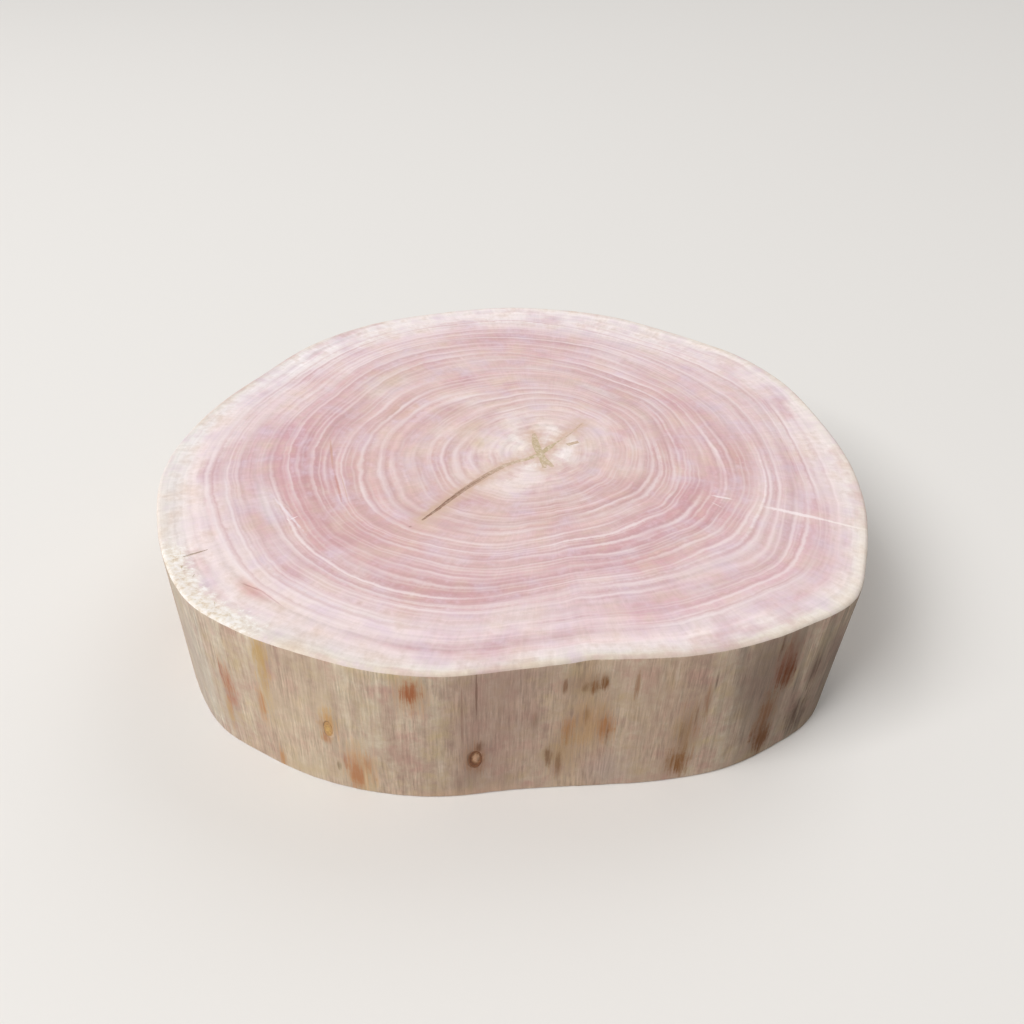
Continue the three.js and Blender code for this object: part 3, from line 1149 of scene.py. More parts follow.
    flecks: tuple[Fleck, ...] = (
        Fleck((-51.0, -54.0), (-35.0, -33.0), 5.0, "#bd9c86", 0.75),
        Fleck((-38.0, -36.0), (-20.0, -17.0), 4.4, "#c4a592", 0.7),
        # The pale flecks that follow are partly scratches and partly painted sheen: white streaks where the sanded top
        # catches the light.
        Fleck((88.6, -35.0), (119.9, -45.0), 2.6, "#f8ebeb", 0.75),
        Fleck((112.0, -42.6), (133.0, -50.2), 1.4, "#f9efe9", 0.6),
        Fleck((70.0, -29.2), (80.0, -31.8), 1.5, "#f6e9e9", 0.65),
        Fleck((69.5, -33.6), (74.8, -38.2), 0.8, "#f3e3e3", 0.4),
        Fleck((-101.8, -55.5), (-98.4, -52.7), 0.7, "#f8efee", 0.7),
        Fleck((-103.0, -54.6), (-101.2, -56.4), 0.6, "#f8efee", 0.6),
        Fleck((-113.1, -38.3), (-92.8, -64.6), 1.4, "#eee4ea", 0.55),
        Fleck((-109.8, -39.5), (-96.0, -56.0), 0.8, "#b99aa2", 0.3),
        Fleck((-96.1, 4.8), (-90.3, -20.1), 1.3, "#c59883", 0.6),
        Fleck((-90.5, -18.5), (-81.8, -45.7), 1.3, "#c48d84", 0.65),
        Fleck((-87.6, -20.0), (-79.6, -44.0), 0.7, "#c9a08c", 0.5),
        Fleck((-112.4, -92.6), (-101.7, -97.6), 0.7, "#a36c69", 0.5),
        Fleck((-106.3, -94.3), (-92.2, -105.7), 0.7, "#b88a8b", 0.4),
        Fleck((-54.1, -57.4), (-52.5, -56.8), 1.1, "#957468", 0.6),
        Fleck((-137.5, -84.2), (-132.0, -87.3), 0.7, "#a08a76", 0.7),
        Fleck((-141.0, -82.4), (-127.5, -74.6), 1.5, "#bfa997", 0.65),
        Fleck((-138.0, -85.5), (-128.0, -88.5), 1.8, "#c9bbaf", 0.6),
    )

    def material(self) -> bpy.types.Material:
        """Builds the end-grain material.

        Returns:
            The material.
        """
        made, place = self._start("sawn_rose_end_grain", self.heart)
        tree = made.node_tree
        growth = add(tree, "Attribute", attribute_name="growth").outputs["Vector"]
        wood = TopWood(tree, place, growth, self._wavering_age(tree, place, growth))
        colour = add(tree, "ValToRGB", (wood.age,), stops=self.tints)
        for arc in self.arcs:
            colour = self._arched(wood, colour, arc)
        colour = self._clouded(wood, colour)
        relief, colour = self._ringed(wood, colour)
        for fleck in self.flecks:
            colour = self._flecked(wood, colour, fleck)
        return self._end(made, self._stained_and_shaded(wood, colour), relief)

    def _wavering_age(self, tree: bpy.types.NodeTree, place: Source, growth: Source) -> Source:
        """Gives the age with the small wavering that real rings have.

        Args:
            tree: The material's nodes.
            place: Millimetres from the heart.
            growth: The way from the heart, as long as the wood is old.

        Returns:
            The age.
        """
        age = add(tree, "VectorMath", (growth,), operation="LENGTH").outputs["Value"]
        wide = add(tree, "TexNoise", {"Vector": place, "Scale": 0.028, "Detail": 2.0})
        narrow = add(tree, "TexNoise", {"Vector": place, "Scale": 0.13, "Detail": 1.0})
        far, near = (add(tree, "Math", (noise_node, 0.5), operation="SUBTRACT") for noise_node in (wide, narrow))
        return summed(tree, ((far, 0.018), (near, 0.008)), age)

    def _arched(self, wood: TopWood, colour: Source, arc: Arc) -> Source:
        """Lays an arc's tint over a colour.

        Args:
            wood: What the patterns read.
            colour: The colour under it.
            arc: The arc.

        Returns:
            The tinted colour.
        """
        tree = wood.tree
        turn = -math.radians(arc.turn)
        turned = add(tree, "VectorRotate", {"Vector": wood.growth, "Angle": turn}, rotation_type="Z_AXIS")
        parts = add(tree, "SeparateXYZ", (turned,)).outputs
        angle = add(tree, "Math", (parts["Y"], parts["X"]), operation="ARCTAN2")
        aside = add(tree, "Math", (angle, math.radians(arc.half_turn)), operation="DIVIDE")
        off = add(tree, "Math", (wood.age, arc.age), operation="SUBTRACT")
        along = add(tree, "Math", (off, arc.half_age), operation="DIVIDE")
        across = add(tree, "CombineXYZ", {"X": aside, "Y": along})
        far = add(tree, "VectorMath", (across,), operation="LENGTH").outputs["Value"]
        mask = add(tree, "MapRange", (far, 0.25, 1.25, arc.strength, 0.0), interpolation_type="SMOOTHSTEP")
        return add(tree, "Mix", {"Factor": mask, "A": colour, "B": arc.colour}, data_type="RGBA")

    def _clouded(self, wood: TopWood, colour: Source) -> Source:
        """Varies the tint between rose, cream, lilac and beige, in clouds and in bands along the rings.

        Args:
            wood: What the patterns read.
            colour: The colour that is varied.

        Returns:
            The clouded colour.
        """
        tree, place = wood.tree, wood.place
        bands = wood.drawn(self.band_streaks)
        clouds = add(tree, "TexNoise", {"Vector": place, "Scale": 0.05, "Detail": 4.0, "Roughness": 0.6})
        both = add(tree, "Math", (bands, clouds), operation="ADD")
        colour = tinted(tree, colour, both, self.band_tints)
        hue = add(tree, "TexNoise", {"Vector": place, "Scale": 0.09, "Detail": 4.0, "Roughness": 0.6})
        return tinted(tree, colour, hue, self.hue_tints)

    def _ringed(self, wood: TopWood, colour: Source) -> tuple[Source, Source]:
        """Draws the rings, the rays, the pores and the thin lines along the rings.

        Args:
            wood: What the patterns read.
            colour: The colour that they are drawn on.

        Returns:
            How high the surface stands, and the ringed colour.
        """
        tree = wood.tree
        parts = [(wood.drawn(streaks), weight) for streaks, weight in self.ring_streaks]
        pores = add(tree, "TexNoise", {"Vector": wood.place, "Scale": 0.36, "Detail": 5.0, "Roughness": 0.75})
        relief = summed(tree, [*parts, (pores, self.pore_weight)])
        colour = shaded(tree, colour, relief, self.ring_shade)
        drifting = wood.drawn(self.drift_streaks)
        ring_age = summed(tree, [(drifting, self.drift)], wood.age)
        shadow_age = add(tree, "Math", (ring_age, self.shadow_shift), operation="ADD")
        lines, shadows = replace(wood, age=ring_age), replace(wood, age=shadow_age)
        bold = self._threaded(lines, pores, self.bold)
        faint = self._threaded(lines, pores, self.faint)
        shadow = self._threaded(shadows, pores, self.shadow)
        for mask, threads in ((shadow, self.shadow), (faint, self.faint), (bold, self.bold)):
            colour = add(tree, "Mix", {"Factor": mask, "A": colour, "B": threads.colour}, data_type="RGBA")
        return relief, colour

    def _threaded(self, wood: TopWood, pores: Source, threads: Threads) -> Source:
        """Draws thin lines at uneven spaces along the rings, which fade in and out along their way.

        Args:
            wood: What the patterns read.
            pores: The noise that roughens the lines.
            threads: The lines.

        Returns:
            How strongly the lines show.
        """
        tree = wood.tree
        lines = add(
            tree, "TexVoronoi", {"W": wood.age, "Scale": threads.count, "Randomness": 0.9},
            voronoi_dimensions="1D", feature="DISTANCE_TO_EDGE",
        )
        patchy = wood.drawn(Streaks(1.6, threads.count / 2, 1.0))
        here = add(tree, "MapRange", (patchy, 0.38, 0.68, 0.0, threads.strength))
        rough = add(tree, "Math", (pores, 0.5), operation="SUBTRACT")
        roughened = summed(tree, [(rough, threads.half_width * 2)], lines)
        fading = (roughened, 0.0, threads.half_width, 1.0, 0.0)
        line = add(tree, "MapRange", fading, interpolation_type="SMOOTHSTEP")
        shown = add(tree, "Math", (line, here), operation="MULTIPLY")
        inside = add(tree, "MapRange", (wood.age, 0.98, 0.93))
        outside = add(tree, "MapRange", (wood.age, 0.15, 0.45, 0.5))
        kept = add(tree, "Math", (inside, outside), operation="MULTIPLY")
        return add(tree, "Math", (shown, kept), operation="MULTIPLY")

    def _flecked(self, wood: TopWood, colour: Source, fleck: Fleck) -> Source:
        """Draws a straight mark.

        Args:
            wood: What the patterns read.
            colour: The colour that it is drawn on.
            fleck: The mark.

        Returns:
            The marked colour.
        """
        tree = wood.tree
        way = Vector(fleck.end) - Vector(fleck.start)
        middle = (Vector(fleck.end) + Vector(fleck.start)) / 2
        angle = math.atan2(way.y, way.x)
        moved = add(tree, "VectorMath", (wood.place, (-middle.x, -middle.y, 0)), operation="ADD")
        turned = add(tree, "VectorRotate", {"Vector": moved, "Angle": -angle}, rotation_type="Z_AXIS")
        sized = add(tree, "VectorMath", (turned, (2 / way.length, 2 / fleck.width, 0)), operation="MULTIPLY")
        far = add(tree, "VectorMath", (sized,), operation="LENGTH").outputs["Value"]
        broken = add(tree, "TexNoise", {"Vector": wood.place, "Scale": 0.5, "Detail": 2.0})
        ragged = summed(tree, [(broken, 0.9)], far)
        mask = add(tree, "MapRange", (ragged, 0.9, 1.5, fleck.strength, 0.0))
        return add(tree, "Mix", {"Factor": mask, "A": colour, "B": fleck.colour}, data_type="RGBA")

    def _stained_and_shaded(self, wood: TopWood, colour: Source) -> Source:
        """Lays the glue stain round the checks and the crumbs of the torn rim, with painted shadow between the crumbs,
        over a colour.

        Args:
            wood: What the patterns read.
            colour: The colour under them.

        Returns:
            The stained colour.
        """
        tree, place = wood.tree, wood.place
        glue = add(tree, "Attribute", attribute_name="glue").outputs["Fac"]
        torn = add(tree, "Attribute", attribute_name="torn").outputs["Fac"]
        soaked = add(tree, "TexNoise", {"Vector": place, "Scale": 0.35, "Detail": 3.0})
        taken_up = add(tree, "MapRange", (soaked, 0.35, 0.6, 0.4))
        glued = add(tree, "Math", (glue, taken_up), operation="MULTIPLY")
        brown = add(tree, "Mix", {"Factor": glued, "A": colour, "B": self.glue_colour}, data_type="RGBA")
        turn = (0, 0, math.radians(self.crumb_turn))
        laid = add(tree, "Mapping", {"Vector": place, "Rotation": turn, "Scale": (0.3, 0.5, 0.5)})
        crumbs = add(tree, "TexNoise", {"Vector": laid, "Scale": 1.0, "Detail": 5.0, "Roughness": 0.7})
        crumbs_and_shadow = add(tree, "ValToRGB", (crumbs,), stops=self.crumb_and_shadow_tints)
        edge = add(tree, "Math", (crumbs, 0.5), operation="SUBTRACT")
        frayed = summed(tree, [(edge, 2.5)], torn)
        shown = add(tree, "MapRange", (frayed, 0.3, 0.85, 0.0, 0.8))
        near = add(tree, "MapRange", (torn, 0.0, 0.2))
        laid_on = add(tree, "Math", (shown, near), operation="MULTIPLY")
        return add(tree, "Mix", {"Factor": laid_on, "A": brown, "B": crumbs_and_shadow}, data_type="RGBA")


@dataclass(frozen=True)
class ScrapedWall(Finish):
    """Long grain under the bark, scraped clean with a drawknife and left raw.

    It shows fine upright streaks of cream, grey and pinkish brown, with rusty and dark stains where twigs and
    bark pockets were, broad tone zones that darken its right side, partly with painted shade, and has a dry,
    uneven surface. The wall stands about the distance from the heart, and a stain or zone there fades out within
    the reach, so none comes through to the far side.
    """

    heart: tuple[float, float]
    roughness: float = 0.78
    shine: float = 0.25
    relief_strength: float = 0.7
    relief_depth: float = 0.25
    distance: float = 140.0
    reach: float = 120.0
    zone_raggedness: float = 0.6
    stain_raggedness: float = 1.5
    # How far the edge of a stain or tone zone lies from its middle, as a share of its half size.
    stain_and_shade_edge: float = 1.2
    tints: tuple[tuple[float, str], ...] = (
        (0.36, "#a78e7e"), (0.44, "#b8a08d"), (0.5, "#c1ab97"), (0.56, "#c9b8a2"), (0.64, "#d8cab8")
    )
    hue_tints: tuple[Tint, ...] = (Tint(0.51, 0.72, 0.8, "#bb9286"), Tint(0.49, 0.28, 0.75, "#c0ab84"))
    streak_shade: tuple[float, ...] = (-0.2, 0.2, 0.79, 1.17)
    # Broad tones of the wall, laid under its stains; the dark ones at the right are partly painted shade.
    tone_and_shade_zones: tuple[StainAndShade, ...] = (
        StainAndShade(-145, 35, 26, 90, "#b6afa4", 0.6),
        StainAndShade(-124, 25, 30, 60, "#cbb79d", 0.45),
        StainAndShade(-97, 45, 20, 70, "#a68478", 0.65),
        StainAndShade(-82, 36, 18, 60, "#ab8b73", 0.5),
        StainAndShade(-78, 10, 12, 12, "#b5a19a", 0.5),
        StainAndShade(-102, 0, 34, 6, "#c9a78f", 0.6),
        StainAndShade(-70, 40, 18, 60, "#a78976", 0.5),
        # These three dark grey-brown zones, from -56 to -34, darken the right of the wall: partly the wood's own greyer
        # tone, partly painted shade of the side turned from the key lamp.
        StainAndShade(-56, 52, 14, 26, "#7f685c", 0.45),
        StainAndShade(-52, 40, 24, 70, "#7d6a5d", 0.75),
        StainAndShade(-34, 26, 36, 80, "#66574b", 0.8),
        StainAndShade(25, 30, 34, 90, "#ab917c", 0.5),
        StainAndShade(80, 50, 30, 60, "#c6b39c", 0.45),
        StainAndShade(122, 30, 36, 90, "#a98e7b", 0.5),
        StainAndShade(165, 40, 26, 80, "#c3b29c", 0.5),
    )
    stains: tuple[StainAndShade, ...] = (
        StainAndShade(-136.4, 34, 3.6, 16, "#a8623c", 0.75),
        StainAndShade(-137.2, 42, 0.8, 9, "#8f4a30", 0.55),
        StainAndShade(-137.4, 18, 2.2, 12, "#b98f55", 0.55),
        StainAndShade(-129.5, 60, 4.2, 14, "#b8955c", 0.75),
        StainAndShade(-129.8, 50, 3.2, 26, "#b9955f", 0.6),
        StainAndShade(-130.8, 33, 2.2, 12, "#b57740", 0.7),
        StainAndShade(-129.0, 5, 1.8, 9, "#b8824c", 0.75),
        StainAndShade(-120.6, 36, 4.4, 9, "#bd8b47", 0.75),
        StainAndShade(-121.2, 28, 2.6, 4.5, "#a8622f", 0.6),
        StainAndShade(-121.6, 34, 1.6, 6, "#8c5d34", 0.4),
        StainAndShade(-116.8, 14, 7.6, 15, "#c09062", 0.6),
        StainAndShade(-117.2, 10, 3.6, 10, "#a9673d", 0.65),
        StainAndShade(-118.8, 17, 0.8, 7, "#98583a", 0.45),
        StainAndShade(-119.8, 13, 1.0, 3.2, "#6f5a3c", 0.7),
        StainAndShade(-114.8, 9, 0.8, 7, "#9c6038", 0.4),
        StainAndShade(-116.0, 8, 0.6, 8, "#d6b894", 0.7),
        StainAndShade(-115.4, 18, 2.2, 7, "#a86a43", 0.4),
        StainAndShade(-108.7, 60, 7.0, 12, "#b58a66", 0.7),
        StainAndShade(-108.7, 60.5, 4.0, 6.4, "#a0603c", 0.95, 0.8),
        StainAndShade(-100.6, 13, 3.6, 11, "#806a5c", 0.35),
        StainAndShade(-102.5, 8, 2.4, 8, "#86695c", 0.35),
        StainAndShade(-100.0, 23, 5.2, 11, "#94694a", 0.8),
        StainAndShade(-99.3, 29.8, 1.7, 3.4, "#6b4a36", 0.7),
        StainAndShade(-101.8, 46, 0.45, 16, "#8c6c5e", 0.6, 0.6),
        StainAndShade(-99.8, 58, 0.35, 14, "#7d6152", 0.8, 0.6),
        StainAndShade(-91.0, 41, 1.6, 6, "#75563f", 0.45),
        StainAndShade(-83.4, 58.5, 10.0, 6.5, "#a08163", 0.5),
        StainAndShade(-86.6, 58, 1.1, 4.0, "#7a5236", 0.8, 0.8),
        StainAndShade(-83.3, 55.8, 1.3, 3.4, "#80603f", 0.8),
        StainAndShade(-81.7, 57.5, 2.3, 5.2, "#7f5530", 1.0, 0.9),
        StainAndShade(-80.2, 58.5, 1.9, 4.6, "#7c532e", 1.0, 0.9),
        StainAndShade(-82.7, 41, 1.3, 5.0, "#7b5c40", 0.8, 0.9),
        StainAndShade(-82.0, 37, 9.5, 13, "#b08a60", 0.65),
        StainAndShade(-79.2, 34, 3.6, 9, "#a56e42", 0.75),
        StainAndShade(-78.9, 30, 0.7, 8, "#6e4a30", 0.6),
        StainAndShade(-85.6, 30, 0.6, 8, "#8a6038", 0.6),
        StainAndShade(-85.4, 34, 3.0, 8, "#ab7848", 0.65),
        StainAndShade(-86.5, 20, 6.8, 15, "#a8845e", 0.5),
        StainAndShade(-88.4, 20, 2.0, 7.0, "#7d5c42", 0.8),
        StainAndShade(-86.6, 14, 1.6, 9, "#7f5f42", 0.7),
        StainAndShade(-75.0, 56, 0.9, 8, "#8a5d38", 0.6, 0.6),
        StainAndShade(-69.0, 60, 0.8, 10, "#d2bfac", 0.4),
        StainAndShade(-65.6, 26, 6.4, 21, "#8f6d49", 0.7),
        StainAndShade(-66.2, 10.5, 5.6, 9.5, "#855931", 0.95),
        StainAndShade(-66.4, 26, 0.7, 9, "#6f4d33", 0.6),
        StainAndShade(-64.6, 36, 0.6, 9, "#6f4d33", 0.5),
        StainAndShade(-63.2, 44, 1.7, 12, "#85593a", 0.65),
        StainAndShade(-62.4, 54, 0.6, 6, "#6f5a4c", 0.8),
        StainAndShade(-52.0, 63, 1.2, 7, "#60402b", 0.75),
        StainAndShade(-50.0, 53, 7.0, 16, "#7c4c38", 0.75),
        StainAndShade(-49.4, 46, 5.2, 10, "#6a3614", 1.0),
        StainAndShade(-51.6, 24, 6.0, 20, "#7a5030", 0.85),
        StainAndShade(-51.4, 12, 5.4, 11, "#683c10", 0.95),
        StainAndShade(-44.0, 15, 8.0, 15, "#523a2c", 0.9),
        StainAndShade(-43.2, 40, 4.0, 13, "#5a4032", 0.8),
        StainAndShade(-18, 40, 3.0, 12, "#8d5a3a", 0.7),
        StainAndShade(-12, 17, 1.4, 8, "#6a4630", 0.7),
        StainAndShade(4, 54, 6.0, 10, "#aa835d", 0.6),
        StainAndShade(4, 56, 1.8, 5, "#75482b", 0.9, 0.6),
        StainAndShade(21, 22, 4.5, 12, "#9a6842", 0.75),
        StainAndShade(37, 44, 1.2, 10, "#6d4c37", 0.65),
        StainAndShade(52, 13, 6.5, 12, "#b28a5e", 0.6),
        StainAndShade(53, 10, 2.6, 6, "#7d502d", 0.9, 0.7),
        StainAndShade(73, 48, 3.4, 10, "#a2653f", 0.8),
        StainAndShade(88, 27, 1.5, 13, "#7e5a42", 0.55),
        StainAndShade(102, 57, 4.4, 6, "#8f5b38", 0.9, 0.7),
        StainAndShade(118, 21, 7.0, 15, "#b38e64", 0.6),
        StainAndShade(119.5, 17, 2.2, 8, "#744b2d", 0.9, 0.6),
        StainAndShade(139, 42, 2.8, 14, "#a66f48", 0.7),
        StainAndShade(156, 13, 3.8, 8, "#8a5b39", 0.8),
        StainAndShade(171, 52, 2.2, 11, "#b58c54", 0.7),
        StainAndShade(-165, 24, 3.4, 10, "#9c623f", 0.75),
    )

    def material(self) -> bpy.types.Material:
        """Builds the wall's material.

        Returns:
            The material.
        """
        made, place = self._start("scraped_long_grain", self.heart)
        tree = made.node_tree
        fine = self._streaks(tree, place, 0.75, 11.0, 3.0)
        middling = self._streaks(tree, place, 3.2, 40.0, 2.5)
        broad = self._streaks(tree, place, 15.0, 90.0, 2.0)
        mottle = add(tree, "TexNoise", {"Vector": place, "Scale": 0.22, "Detail": 4.0, "Roughness": 0.65})
        mixed = summed(tree, ((middling, 0.36), (broad, 0.33), (mottle, 0.31)))
        colour = add(tree, "ValToRGB", (mixed,), stops=self.tints)
        hue = add(tree, "TexNoise", {"Vector": place, "Scale": 0.085, "Detail": 5.0, "Roughness": 0.65})
        colour = tinted(tree, colour, hue, self.hue_tints)
        for zone in self.tone_and_shade_zones:
            colour = self._stained_and_shaded(colour, place, zone, middling, self.zone_raggedness)
        scraped = add(tree, "TexNoise", {"Vector": place, "Scale": 0.06, "Detail": 3.0})
        depth = add(tree, "MapRange", (scraped, 0.36, 0.64, 0.35, 1.45))
        off = add(tree, "Math", (fine, 0.5), operation="SUBTRACT")
        deep = add(tree, "Math", (off, depth), operation="MULTIPLY")
        colour = shaded(tree, colour, deep, self.streak_shade)
        edge = summed(tree, ((mottle, 0.4), (fine, 0.6)))
        strands = self._streaks(tree, place, 1.3, 26.0, 2.0)
        soaked = add(tree, "MapRange", (strands, 0.34, 0.54, 0.55))
        for stain in self.stains:
            colour = self._stained_and_shaded(colour, place, stain, edge, self.stain_raggedness, soaked)
        return self._end(made, colour, summed(tree, [(fine, 0.6)], middling))

    def _streaks(self, tree: bpy.types.NodeTree, place: Source, width: float, length: float, detail: float) -> Source:
        """Makes upright streaks.

        Args:
            tree: The material's nodes.
            place: Millimetres from the heart.
            width: Their width in millimetres.
            length: Their length in millimetres.
            detail: How many finer layers they have.

        Returns:
            The streaks.
        """
        pitch = (1 / width, 1 / width, 1 / length)
        stretched = add(tree, "VectorMath", (place, pitch), operation="MULTIPLY")
        look = {"Vector": stretched, "Scale": 1.0, "Detail": detail, "Roughness": 0.6, "Distortion": 0.25}
        return add(tree, "TexNoise", look)

    def _stained_and_shaded(self, colour: Source, place: Source, stain: StainAndShade, streaks: Source, ragged: float,
                 soaked: Source | None = None) -> Source:
        """Lays a stain, or a tone zone with its painted shade, over a colour, torn into streaks at its edge.

        Args:
            colour: The colour under it.
            place: Millimetres from the heart.
            stain: The stain, or the tone zone with its painted shade.
            streaks: The noise that tears its edge.
            ragged: How much its edge is torn.
            soaked: How far each strand of the wood takes it up, if they differ.

        Returns:
            The stained colour.
        """
        tree = place.id_data
        turn = -math.radians(stain.turn)
        turned = add(tree, "VectorRotate", {"Vector": place, "Angle": turn}, rotation_type="Z_AXIS")
        moved = add(tree, "VectorMath", (turned, (-self.distance, 0, -stain.height)), operation="ADD")
        size = (1 / self.reach, 1 / stain.half_width, 1 / stain.half_height)
        sized = add(tree, "VectorMath", (moved, size), operation="MULTIPLY")
        far = add(tree, "VectorMath", (sized,), operation="LENGTH").outputs["Value"]
        torn = add(tree, "Math", (streaks, 0.5), operation="SUBTRACT")
        ragged_far = summed(tree, [(torn, -2 * ragged)], far)
        fading = (ragged_far, self.stain_and_shade_edge - stain.softness, self.stain_and_shade_edge, stain.strength, 0.0)
        mask = add(tree, "MapRange", fading, interpolation_type="SMOOTHSTEP")
        if soaked is not None:
            mask = add(tree, "Math", (mask, soaked), operation="MULTIPLY")
        return add(tree, "Mix", {"Factor": mask, "A": colour, "B": stain.colour}, data_type="RGBA")


@dataclass(frozen=True)
class PackedFiller(Finish):
    """Wood glue thick with fine sawdust, scraped level and sanded: olive brown, matt, with pale crumbs."""

    heart: tuple[float, float]
    roughness: float = 0.85
    shine: float = 0.2
    relief_strength: float = 0.6
    relief_depth: float = 0.15
    # How far the filler reaches from the heart, in millimetres, and its tints by their share of the way there.
    reach: float = 72.0
    tints: tuple[tuple[float, str], ...] = (
        (0.0, "#c1ae8e"), (0.12, "#c6b294"), (0.2, "#c9b09a"), (0.5, "#b99a88"), (0.85, "#9f7d6c")
    )
    crumb_shade: tuple[float, ...] = (0.3, 0.7, 0.8, 1.14)
    rubbed_colour: str = "#decbba"

    def material(self) -> bpy.types.Material:
        """Builds the filler's material.

        Returns:
            The material.
        """
        made, place = self._start("glue_and_sawdust", self.heart)
        tree = made.node_tree
        level = add(tree, "VectorMath", (place, (1, 1, 0)), operation="MULTIPLY")
        far = add(tree, "VectorMath", (level,), operation="LENGTH").outputs["Value"]
        out = add(tree, "MapRange", (far, 0.0, self.reach))
        base = add(tree, "ValToRGB", (out,), stops=self.tints)
        crumbs = add(tree, "TexNoise", {"Vector": place, "Scale": 1.1, "Detail": 4.0, "Roughness": 0.75})
        mottled = shaded(tree, base, crumbs, self.crumb_shade)
        patches = add(tree, "TexNoise", {"Vector": place, "Scale": 0.5, "Detail": 3.0, "Roughness": 0.65})
        bare = add(tree, "MapRange", (patches, 0.46, 0.66, 0.0, 0.85))
        inner = add(tree, "MapRange", (out, 0.2, 0.5, 1.0, 0.3))
        rubbed = add(tree, "Math", (bare, inner), operation="MULTIPLY")
        colour = add(tree, "Mix", {"Factor": rubbed, "A": mottled, "B": self.rubbed_colour}, data_type="RGBA")
        return self._end(made, colour, crumbs)


@dataclass(frozen=True)
class TwigWood(Finish):
    """Dead twig wood in its own bark: a dark resinous ring round a paler, dry core."""

    name: str
    bark: str
    ring: str
    core: str
    roughness: float = 0.72
    shine: float = 0.35
    relief_strength: float = 0.6
    relief_depth: float = 0.2
    wavering: float = 0.22
    grain_shade: tuple[float, ...] = (0.3, 0.7, 0.8, 1.2)

    def material(self) -> bpy.types.Material:
        """Builds the knot's material.

        Returns:
            The material.
        """
        made, place = self._start(self.name)
        tree = made.node_tree
        inward = add(tree, "Attribute", attribute_name="from_bark").outputs["Fac"]
        uneven = add(tree, "TexNoise", {"Vector": place, "Scale": 1.1, "Detail": 3.0})
        shifted = summed(tree, [(uneven, self.wavering)], inward)
        rings = ((0.08, self.ring), (0.18, self.bark), (0.4, self.bark), (0.56, self.ring), (0.7, self.core))
        base = add(tree, "ValToRGB", (shifted,), stops=rings)
        return self._end(made, shaded(tree, base, uneven, self.grain_shade), uneven)


@dataclass(frozen=True)
class TornFibre(Finish):
    """Loose fibres of sapwood that the saw pulled up: pale, dry straw with darker shadows between."""

    roughness: float = 0.8
    shine: float = 0.25
    tints: tuple[tuple[float, str], ...] = ((0.3, "#cdb892"), (0.5, "#e8dac2"), (0.68, "#f6eddf"))

    def material(self) -> bpy.types.Material:
        """Builds the fibres' material.

        Returns:
            The material.
        """
        made, place = self._start("torn_sapwood_fibre")
        mottle = add(made.node_tree, "TexNoise", {"Vector": place, "Scale": 0.7, "Detail": 3.0})
        return self._end(made, add(made.node_tree, "ValToRGB", (mottle,), stops=self.tints))


@dataclass
class Studio:
    """A plain pale floor, soft lamps and the camera at the photograph's place."""

    floor_radius: float = 7.0
    floor_colour: str = "#e6e3df"
    # The camera's place in millimetres from the middle of the foot, how far it looks down and how far it leans.
    camera_place: tuple[float, float, float] = (-0.42, -345.74, 300.73)
    camera_down: float = 38.0
    camera_lean: float = 1.96
    lens: float = 32.33
    sensor: float = 36.0
    world_strength: float = 0.3

    def floor(self) -> None:
        """Lays the floor."""
        shape = bmesh.new()
        bmesh.ops.create_circle(shape, cap_ends=True, segments=96, radius=self.floor_radius / MM)
        disc = piece_from("floor", shape)
        made = bpy.data.materials.new("pale_floor")
        made.use_nodes = True
        surface = made.node_tree.nodes["Principled BSDF"]
        surface.inputs["Base Color"].default_value = srgb(self.floor_colour)
        surface.inputs["Roughness"].default_value = 0.9
        surface.inputs["Specular IOR Level"].default_value = 0.1
        disc.data.materials.append(made)

    def lamp(self, name: str, place: tuple[float, float, float], size: float, power: float) -> None:
        """Hangs a square lamp that faces the block.

        Args:
            name: The lamp's name.
            place: Its place in metres.
            size: Its side in metres.
            power: Its power in watts.
        """
        data = bpy.data.lights.new(name, "AREA")
        data.size = size
        data.energy = power
        lamp = bpy.data.objects.new(name, data)
        lamp.location = place
        lamp.rotation_euler = Vector(place).to_track_quat("Z", "Y").to_euler()
        bpy.context.scene.collection.objects.link(lamp)

    def light(self) -> None:
        """Sets the even light of the room and the lamps."""
        world = bpy.data.worlds.new("soft_room")
        world.use_nodes = True
        background = world.node_tree.nodes["Background"]
        background.inputs["Color"].default_value = (1.0, 1.0, 1.0, 1.0)
        background.inputs["Strength"].default_value = self.world_strength
        bpy.context.scene.world = world
        self.lamp("key", (-2.6, -1.7, 3.4), 2.4, 180.0)
        self.lamp("fill", (1.4, 2.4, 3.2), 3.0, 45.0)

    def camera(self) -> None:
        """Places the camera."""
        data = bpy.data.cameras.new("camera")
        data.sensor_width = self.sensor
        data.lens = self.lens
        data.clip_start = 0.01
        camera = bpy.data.objects.new("camera", data)
        turned = Matrix.Rotation(math.radians(90 - self.camera_down), 4, "X")
        lean = Matrix.Rotation(math.radians(self.camera_lean), 4, "Z")
        camera.matrix_world = Matrix.Translation(Vector(self.camera_place) * MM) @ turned @ lean
        bpy.context.scene.collection.objects.link(camera)
        bpy.context.scene.camera = camera
        bpy.context.scene.view_settings.view_transform = "Standard"


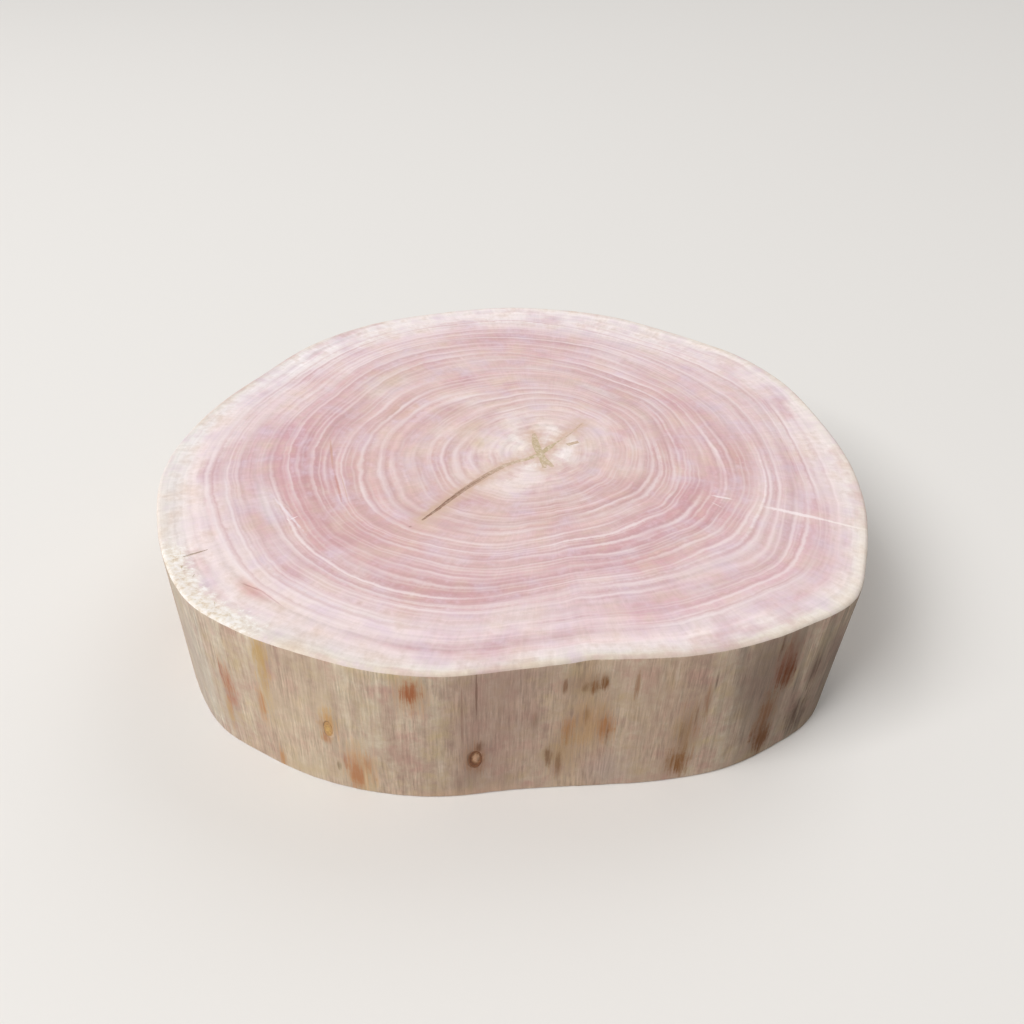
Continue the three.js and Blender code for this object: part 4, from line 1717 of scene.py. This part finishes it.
def finish_piece(piece: bpy.types.Object, material: bpy.types.Material, slot: Slot, *nodes: str) -> None:
    """Gives a piece its material and its body, and hides the solids that it stands for.

    Args:
        piece: The piece.
        material: Its material, unless it has some.
        slot: Its slot in the record; not used.
        *nodes: The frame's solids that it stands for.
    """
    if not piece.data.materials:
        piece.data.materials.append(material)
    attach(piece, BODY)
    if nodes:
        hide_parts(*nodes)
    LOG.info("%s: %d faces", piece.name, len(piece.data.polygons))


def dress_slice(piece: bpy.types.Object, heart: tuple[float, float]) -> None:
    """Gives the sawn faces the end-grain finish and the wall the long-grain finish.

    Args:
        piece: The slice.
        heart: The trunk's heart.
    """
    piece.data.materials.append(SawnEndGrain(heart).material())
    piece.data.materials.append(ScrapedWall(heart).material())
    for face in piece.data.polygons:
        face.material_index = 0 if abs(face.normal.z) > SAWN else 1


def main() -> None:
    """Builds the chopping block round the frame and sets up its studio."""
    logging.basicConfig(level=logging.INFO, format="%(message)s")
    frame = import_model()
    solids = frame["nodes"]
    studio = Studio()
    studio.camera()
    studio.light()
    studio.floor()

    trunk = Trunk(solids["wood_block"])
    checks = HeartChecks(trunk)
    torn = TornRim(trunk)
    star = checks.filler("star_filling", solids["star_check_filler"])
    short = checks.filler("short_filling", solids["short_check_filler"])
    front = PinKnot(trunk, "ringed_pin_knot", -100.0, 22.5, 5.0, 10.0, 22.0, core_shift=(1.1, 2.2))
    left = PinKnot(trunk, "golden_pin_knot", -120.7, 33.0, 3.2, 8.0, 18.0, relief=0.15)
    block = Slice(trunk, checks, torn).build([star, short], [torn.check(), front.socket(), left.socket()])
    cut_away(star, [checks.split()])
    crease(star, checks.sharp_angle)
    crease(short, checks.sharp_angle)

    dress_slice(block, trunk.heart)
    filler = PackedFiller(trunk.heart).material()
    dark_twig = TwigWood("dark_twig", "#7a4f34", "#946c4c", "#b68f72").material()
    gold_twig = TwigWood("golden_twig", "#b98f5e", "#bd9560", "#c29c62").material()
    finish_piece(block, block.data.materials[0], Slot.WOOD, "wood_block")
    finish_piece(star, filler, Slot.FILLER, "star_check_filler")
    finish_piece(short, filler, Slot.FILLER, "short_check_filler")
    finish_piece(front.twig(), dark_twig, Slot.KNOT, "pin_knot_front")
    finish_piece(left.twig(), gold_twig, Slot.KNOT, "pin_knot_left")
    finish_piece(torn.fibres(), TornFibre().material(), Slot.WOOD)


if __name__ == "__main__":
    main()
